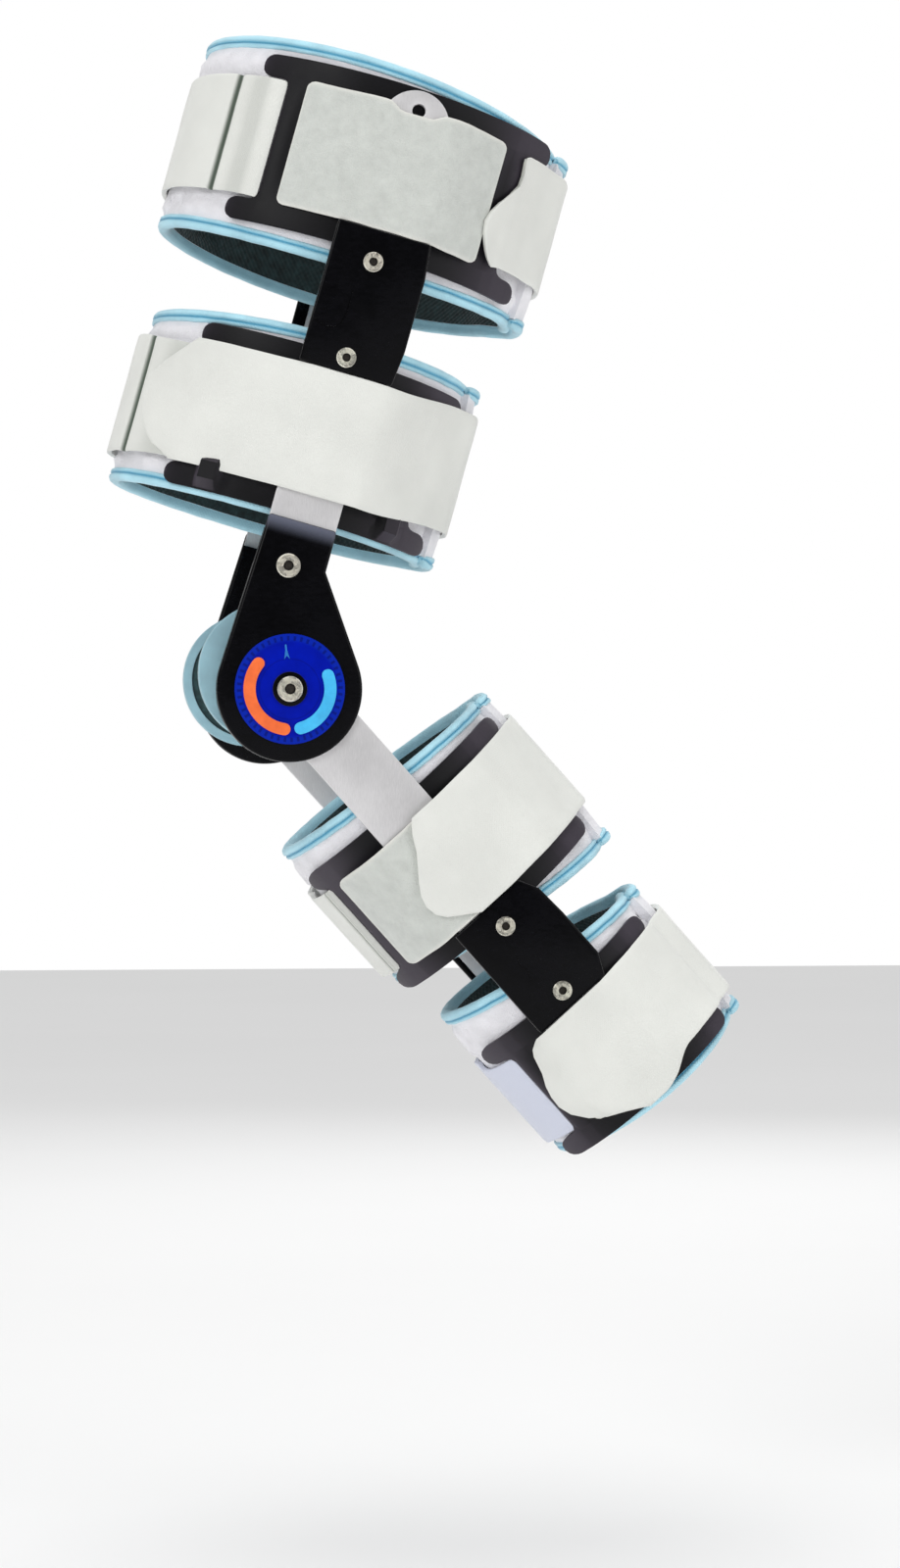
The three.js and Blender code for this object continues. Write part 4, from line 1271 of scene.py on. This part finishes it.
class BRACE_OT_sleeves(bpy.types.Operator):
    """Make the black sleeves over the bars, each with a shallow tab line"""
    bl_idname = "brace.sleeves"
    bl_label = "Bar sleeves"

    # The line cut into each sleeve: x and along of its bends.
    TAB_LINES = {
        "thigh": ((-22.4, 191), (-22.3, 181), (-23.4, 175.5), (-26, 172.2), (-30, 171.4), (-40, 174.6)),
        "calf": ((-3.4, 170), (-5.6, 174.5), (-4.2, 178.5), (-6.4, 184)),
    }

    def groove(self, path, width=0.7):
        """Outline of a narrow line along a path."""
        sides = ([], [])
        for k, (x, along) in enumerate(path):
            before, after = path[max(0, k - 1)], path[min(len(path) - 1, k + 1)]
            run = Vector((after[0] - before[0], after[1] - before[1])).normalized() * width / 2
            sides[0].append((x - run.y, along + run.x))
            sides[1].append((x + run.y, along - run.x))
        return sides[0] + sides[1][::-1]

    def execute(self, context):
        for side in SIDES:
            for name in LIMBS:
                self.make(name, side, context.scene.brace_sizes)
        return {"FINISHED"}

    def make(self, name, side, sizes):
        limb = LIMBS[name]
        sleeve = SLEEVES[name]
        near, far = sleeve["rear"][0][1], sleeve["rear"][-1][1]
        low = HINGE_HALF_WIDTH
        top = low + sizes.bar / MM + 2.7
        outline = [(sleeve["front"], near), *sleeve["rear"], (sleeve["front"], far)]
        piece = outline_solid(f"{side}_{name}_bar_sleeve", outline, low, top, 1.1, 3)
        hollow = sizes.bar_width / MM / 2 + 0.3
        channel = [
            (limb["bar_x"] - hollow, near - 5), (limb["bar_x"] + hollow, near - 5),
            (limb["bar_x"] + hollow, far + 5), (limb["bar_x"] - hollow, far + 5)]
        cut(piece, outline_solid("channel", channel, low - 5, low + sizes.bar / MM + 0.3))
        cut(piece, outline_solid("tab line", self.groove(self.TAB_LINES[name]), top - 0.45, top + 5))
        place_on_limb(piece, limb, SIDES[side])
        finish(piece, limb, "gloss_plastic", [f"{side}_{name}_sleeve"], "gloss", degrees=35)


class BRACE_OT_rivets(bpy.types.Operator):
    """Make the hollow rivet heads of the sleeves and hinges"""
    bl_idname = "brace.rivets"
    bl_label = "Rivets"

    def execute(self, context):
        bar = context.scene.brace_sizes.bar / MM
        for side in SIDES:
            for name, sleeve in SLEEVES.items():
                limb = LIMBS[name]
                for number, centre in enumerate(sleeve["rivets"], 1):
                    self.make(
                        f"{side}_{name}_sleeve_rivet_{number}", limb, side, centre, 4.75,
                        HINGE_HALF_WIDTH + bar + 2.7)
            thigh = LIMBS["thigh"]
            self.make(f"{side}_neck_rivet", thigh, side, (thigh["bar_x"] - 1.4, 56.8), 5.8, HOUSING[1])
            self.make(f"{side}_pivot_rivet", thigh, side, (0, 0), 6.1, HOUSING[1] + 2.0)
        return {"FINISHED"}

    def make(self, name, limb, side, centre, radius, base):
        rings = (
            (radius, 0.2), (radius, 0.9), (radius * 0.93, 1.4), (radius * 0.78, 1.7),
            (radius * 0.52, 1.72), (radius * 0.42, 1.5), (radius * 0.35, 0.9), (radius * 0.34, 0.4))
        count = 40
        points = round_points(centre, radius, count)
        piece = outline_solid(f"{name}_head", points, base + rings[0][1], base + rings[1][1])
        for ring in rings[2:]:
            self.raise_ring(piece, centre, ring, base)
        # The hollow's faces take the painted shade of the bore.
        for polygon in piece.data.polygons:
            flat = Vector((polygon.center.x - centre[0], polygon.center.z - centre[1]))
            inside = flat.length < radius * 0.4
            if inside and polygon.center.y > base + 0.3:
                polygon.material_index = 1
        place_on_limb(piece, limb, SIDES[side])
        finish(piece, limb, "rivet_metal", [name], "rivet", "bore_shade", degrees=50)

    def raise_ring(self, piece, centre, ring, base):
        """Insets the top face to a ring's radius and lifts it to the ring's height."""
        radius, height = ring
        pick(piece)
        top = max(piece.data.polygons, key=lambda p: (len(p.vertices) > 4) * 1e6 + p.center.y)
        for polygon in piece.data.polygons:
            polygon.select = polygon.index == top.index
        bpy.context.tool_settings.mesh_select_mode = (False, False, True)
        bpy.ops.object.mode_set(mode="EDIT")
        bpy.ops.mesh.extrude_region_move(TRANSFORM_OT_translate={"value": (0, 0, 0)})
        bpy.ops.object.mode_set(mode="OBJECT")
        for vertex in piece.data.vertices:
            if vertex.select:
                flat = Vector((vertex.co.x - centre[0], vertex.co.z - centre[1])).normalized() * radius
                vertex.co = Vector((centre[0] + flat.x, base + height, centre[1] + flat.y))


def tangent(x, along, turn):
    distance = math.hypot(x, along)
    return math.atan2(along, x) + turn * math.acos(DISC_RADIUS / distance)


class BRACE_OT_housings(bpy.types.Operator):
    """Make the hinge housings: a bevelled teardrop, slotted for both bars"""
    bl_idname = "brace.housings"
    bl_label = "Hinge housings"

    def execute(self, context):
        for side in SIDES:
            self.make(side, context.scene.brace_sizes)
        return {"FINISHED"}

    def outline(self):
        bar_x = LIMBS["thigh"]["bar_x"]
        front, rear = bar_x - NECK_HALF_WIDTH, bar_x + NECK_HALF_WIDTH
        first = tangent(front, NECK_TOP, 1)
        last = tangent(rear, FLARE_ALONG, -1) + 2 * math.pi
        count = 72
        points = [(rear, FLARE_ALONG), (rear, NECK_TOP), (front, NECK_TOP)]
        points += [
            (DISC_RADIUS * math.cos(mix(first, last, k / count)),
             DISC_RADIUS * math.sin(mix(first, last, k / count))) for k in range(count + 1)]
        return points

    def make(self, side, sizes):
        limb = LIMBS["thigh"]
        piece = outline_solid(f"{side}_hinge_shell", self.outline(), *HOUSING, 1.5, 3)
        half = sizes.bar_width / MM / 2 + CLEARANCE
        left, right = limb["bar_x"] - half - 1, limb["bar_x"] + half + 1
        start = BARS["thigh"]["start"] - CLEARANCE
        cut(piece, outline_solid(
            "neck slot", [(left, start), (right, start), (right, 90), (left, 90)], *SLOT))
        cut(piece, outline_solid(
            "back end", [(left, BACK_TOP), (right, BACK_TOP), (right, 90), (left, 90)],
            HOUSING[0] - 2, SLOT[0] + 1))
        cut(piece, outline_solid("hub", round_points((0, 0), HUB_RADIUS, 48), *SLOT))
        fan = []
        for k in range(10):
            turn = math.radians(mix(1, -FULL_FLEXION - 1, k / 9))
            cos, sin = math.cos(turn), math.sin(turn)
            fan.append([
                (x * cos + z * sin, z * cos - x * sin)
                for x, z in ((-half, 0), (half, 0), (half, -60), (-half, -60))])
        for corners in fan:
            cut(piece, outline_solid("swing", corners, *SLOT))
        for along in (NECK_TOP - 9, NECK_TOP - 6, NECK_TOP - 3.5):
            edit(piece, lambda: bpy.ops.mesh.bisect(plane_co=(0, 0, along), plane_no=(0, 0, 1)))
        # The neck's top slopes down, and the slope is stored as a painted reflection for the gloss
        # finish.
        neck_highlight = piece.data.attributes.new("neck_highlight", "FLOAT", "POINT")
        for vertex in piece.data.vertices:
            if vertex.co.y > SLOT[1] + 1:
                slope = max(0, vertex.co.z - (NECK_TOP - 9)) / 9
                vertex.co.y -= 1.7 * slope ** 1.6
                neck_highlight.data[vertex.index].value = slope
        place_on_limb(piece, limb, SIDES[side], lean_with_bar=False)
        finish(piece, limb, "gloss_plastic", [f"{side}_hinge_housing"], "gloss", degrees=35)


class BRACE_OT_dials(bpy.types.Operator):
    """Make the dials with their arcs, pointer and pivot ring"""
    bl_idname = "brace.dials"
    bl_label = "Dials"

    RADIUS = 19.4
    WIDTH = 5.9

    def execute(self, context):
        sizes = context.scene.brace_sizes
        limb = LIMBS["thigh"]
        face = HOUSING[1]
        for side, sign in SIDES.items():
            dial = outline_solid(
                f"{side}_dial_disc", round_points((0, 0), sizes.dial / MM, 96), face + 0.2, face + 1.1,
                0.25, 2)
            self.settle(dial, sign, "dial_blue", [f"{side}_hinge_dial"], "dial")
            ring = outline_solid(
                f"{side}_pivot_collar", round_points((0, 0), 8.3, 64), face + 1.2, face + 2.0, 0.3, 2)
            self.settle(ring, sign, "gloss_plastic", [f"{side}_pivot_ring"], "gloss")
        for name, (low, high, tone) in DIAL_ARCS.items():
            arc = outline_solid(
                f"outer_{name}_inlay", self.arc(low, high), face + 1.2, face + 2.0, 0.25, 2)
            self.settle(arc, -1, f"arc_{tone}", [f"outer_{name}"], tone)
        pointer = outline_solid(
            "outer_dial_pointer", self.pointer(), face + 1.15, face + 1.4, 0.08, 1)
        self.settle(pointer, -1, "arc_cyan", [], "faded")
        return {"FINISHED"}

    def settle(self, piece, sign, slot, replaced, material):
        limb = LIMBS["thigh"]
        place_on_limb(piece, limb, sign, lean_with_bar=False)
        finish(piece, limb, slot, replaced, material, degrees=35)

    def polar(self, radius, degrees):
        turn = math.radians(degrees + LIMBS["thigh"]["lean"])
        return radius * math.cos(turn), radius * math.sin(turn)

    def arc(self, low, high):
        half = self.WIDTH / 2
        steps = 28
        outer = [self.polar(self.RADIUS + half, mix(low, high, k / steps)) for k in range(steps + 1)]
        inner = [self.polar(self.RADIUS - half, mix(high, low, k / steps)) for k in range(steps + 1)]
        return outer + self.cap(high, 1) + inner + self.cap(low, -1)

    def cap(self, degrees, way):
        """Points of a round end, from the arc's outer to its inner edge or back."""
        centre = self.polar(self.RADIUS, degrees)
        out = math.radians(degrees + LIMBS["thigh"]["lean"])
        turns = [out + way * math.pi * k / 10 for k in range(1, 10)]
        if way < 0:
            turns = [out + math.pi + math.pi * k / 10 for k in range(1, 10)]
        return [
            (centre[0] + self.WIDTH / 2 * math.cos(t), centre[1] + self.WIDTH / 2 * math.sin(t))
            for t in turns]

    def pointer(self):
        tall = [self.polar(21.6, 95.5), self.polar(21.2, 94.4), self.polar(18.6, 94)]
        return tall + [
            self.polar(14.4, 90), self.polar(16, 95.5), self.polar(14.4, 101), self.polar(18.6, 97),
            self.polar(21.2, 96.6)]


class BRACE_OT_pads(bpy.types.Operator):
    """Make the round pads behind the hinges and their bound rims"""
    bl_idname = "brace.pads"
    bl_label = "Hinge pads"

    def execute(self, context):
        sizes = context.scene.brace_sizes
        limb = LIMBS["thigh"]
        outer = sizes.pad / MM
        back, face = HOUSING[0] - 9.3, HOUSING[0] - 0.3
        for side, sign in SIDES.items():
            pad = outline_solid(
                f"{side}_hinge_cushion", round_points(PAD_CENTRE, outer - 3.6, 72), back + 0.6,
                face - 0.6, 2.2, 4)
            self.puff(pad, back, outer - 5)
            place_on_limb(pad, limb, sign, lean_with_bar=False)
            finish(pad, limb, "pad_foam", [f"{side}_hinge_pad"], "foam", degrees=60)
            edge = outline_solid(
                f"{side}_hinge_cushion_rim", round_points(PAD_CENTRE, outer, 72), back, face)
            cut(edge, outline_solid(
                "inside", round_points(PAD_CENTRE, outer - 4.4, 72), back - 5, face - 1.2))
            cut(edge, outline_solid(
                "window", round_points(PAD_CENTRE, outer - 13, 72), back - 5, face + 5))
            round_edges(edge, 1.6, 4)
            place_on_limb(edge, limb, sign, lean_with_bar=False)
            finish(edge, limb, "binding", [f"{side}_hinge_pad_edge"], "binding", degrees=60)
        return {"FINISHED"}

    def puff(self, pad, back, radius):
        """Lets the face on the skin side swell; the drawing is in millimetres here."""
        for vertex in pad.data.vertices:
            vertex.co *= MM
        modify(pad, "REMESH", mode="VOXEL", voxel_size=3 * MM)
        held = []
        for vertex in pad.data.vertices:
            x, y, along = vertex.co / MM
            share = math.hypot(x - PAD_CENTRE[0], along - PAD_CENTRE[1]) / radius
            held.append(max(smooth(y, back + 1.5, back + 3), smooth(share, 0.75, 0.95)))
        swell(pad, held, 2 * MM)
        modify(pad, "SUBSURF", levels=1)
        for vertex in pad.data.vertices:
            vertex.co /= MM


class BRACE_OT_stage(bpy.types.Operator):
    """Set up the floor, the lights and the camera"""
    bl_idname = "brace.stage"
    bl_label = "Stage"

    MM_PER_PIXEL = 0.473
    PHOTO = (918, 1600)
    PIVOT_PIXEL = (294, 704)
    DISTANCE = 1900
    AZIMUTH = -7
    FLOOR = -0.42
    ROOM_LIGHT = 0.36
    ROOM_SHINE = 0.2
    # Name, place, power and settings. The wide soft sun straight above keeps the floor even.
    LIGHTS = (
        ("key", (-1.3, -1.7, 1.1), 17, {"size": 1.1}), ("fill", (1.7, -1.3, 0.5), 9, {"size": 1.4}),
        ("top", (0.2, 0.3, 2.0), 6, {"size": 1.4}), ("back", (0.6, 1.9, 0.9), 7, {"size": 1.4}),
        ("sky", (0, 0, 3), 1.25, {"angle": math.radians(70)}),
    )

    def execute(self, context):
        clear_selection()
        bpy.ops.mesh.primitive_plane_add(size=12, location=(0, 0, self.FLOOR))
        floor = context.object
        floor.name = "studio_floor"
        bpy.ops.object.transform_apply(location=True)
        floor.data.materials.append(MATERIALS["floor"])
        self.add_camera(context)
        for name, where, power, settings in self.LIGHTS:
            self.add_light(name, where, power, settings)
        self.add_world(context)
        context.scene.view_settings.view_transform = "Standard"
        return {"FINISHED"}

    def add_world(self, context):
        """A white room that lights the brace more softly than it looks itself."""
        world = bpy.data.worlds.new("studio")
        world.use_nodes = True
        tree = world.node_tree
        background = tree.nodes["Background"]
        background.inputs[0].default_value = (1, 1, 1, 1)
        path = add_node(tree, "ShaderNodeLightPath")
        lit = math_node(
            tree, "MULTIPLY_ADD", path.outputs["Is Glossy Ray"], self.ROOM_SHINE - self.ROOM_LIGHT,
            self.ROOM_LIGHT)
        strength = math_node(tree, "MAXIMUM", lit, path.outputs["Is Camera Ray"])
        tree.links.new(strength, background.inputs[1])
        context.scene.world = world

    def add_camera(self, context):
        width, height = self.PHOTO
        across = (width / 2 - self.PIVOT_PIXEL[0]) * self.MM_PER_PIXEL
        down = (height / 2 - self.PIVOT_PIXEL[1]) * self.MM_PER_PIXEL
        turn = math.radians(self.AZIMUTH)
        target = Vector((across, -HINGE_HALF_WIDTH, -down)) * MM
        camera = bpy.data.cameras.new("studio_camera")
        camera.sensor_fit = "VERTICAL"
        camera.sensor_height = 36
        camera.lens = 36 * self.DISTANCE / (height * self.MM_PER_PIXEL)
        holder = bpy.data.objects.new("studio_camera", camera)
        context.collection.objects.link(holder)
        back = Vector((math.sin(turn), -math.cos(turn), 0))
        holder.location = target + back * self.DISTANCE * MM
        holder.rotation_euler = (-back).to_track_quat("-Z", "Y").to_euler()
        context.scene.camera = holder

    def add_light(self, name, where, power, settings):
        """A soft disc aimed at the hinge, or a sun where the settings give an angle."""
        light = bpy.data.lights.new(f"studio_{name}", "SUN" if "angle" in settings else "AREA")
        light.energy = power
        if light.type == "AREA":
            light.shape = "DISK"
        for label, value in settings.items():
            setattr(light, label, value)
        holder = bpy.data.objects.new(f"studio_{name}", light)
        bpy.context.collection.objects.link(holder)
        holder.location = where
        holder.rotation_euler = (-Vector(where)).to_track_quat("-Z", "Y").to_euler()


PIECE_OPERATORS = (
    BRACE_OT_materials, BRACE_OT_wraps, BRACE_OT_edges, BRACE_OT_plates, BRACE_OT_patches,
    BRACE_OT_straps, BRACE_OT_bars, BRACE_OT_sleeves, BRACE_OT_rivets, BRACE_OT_housings,
    BRACE_OT_dials, BRACE_OT_pads, BRACE_OT_stage)


class BRACE_PT_panel(bpy.types.Panel):
    """Lists the brace's sizes, colours and pieces"""
    bl_idname = "BRACE_PT_panel"
    bl_label = "Knee immobilizer"
    bl_space_type = "VIEW_3D"
    bl_region_type = "UI"
    bl_category = "Knee immobilizer"

    def draw(self, context):
        for group in (context.scene.brace_sizes, context.scene.brace_colours):
            box = self.layout.box()
            for name in group.bl_rna.properties.keys():
                if name not in {"rna_type", "name"}:
                    box.prop(group, name)
        for operator in PIECE_OPERATORS:
            self.layout.operator(operator.bl_idname)


CLASSES = (BraceSizes, BraceColours, *PIECE_OPERATORS, BRACE_PT_panel)


def register():
    for cls in CLASSES:
        bpy.utils.register_class(cls)
    bpy.types.Scene.brace_sizes = PointerProperty(type=BraceSizes)
    bpy.types.Scene.brace_colours = PointerProperty(type=BraceColours)


def unregister():
    del bpy.types.Scene.brace_colours
    del bpy.types.Scene.brace_sizes
    for cls in reversed(CLASSES):
        bpy.utils.unregister_class(cls)


def main():
    register()
    for operator in PIECE_OPERATORS:
        group, name = operator.bl_idname.split(".")
        getattr(getattr(bpy.ops, group), name)()


if __name__ == "__main__":
    main()
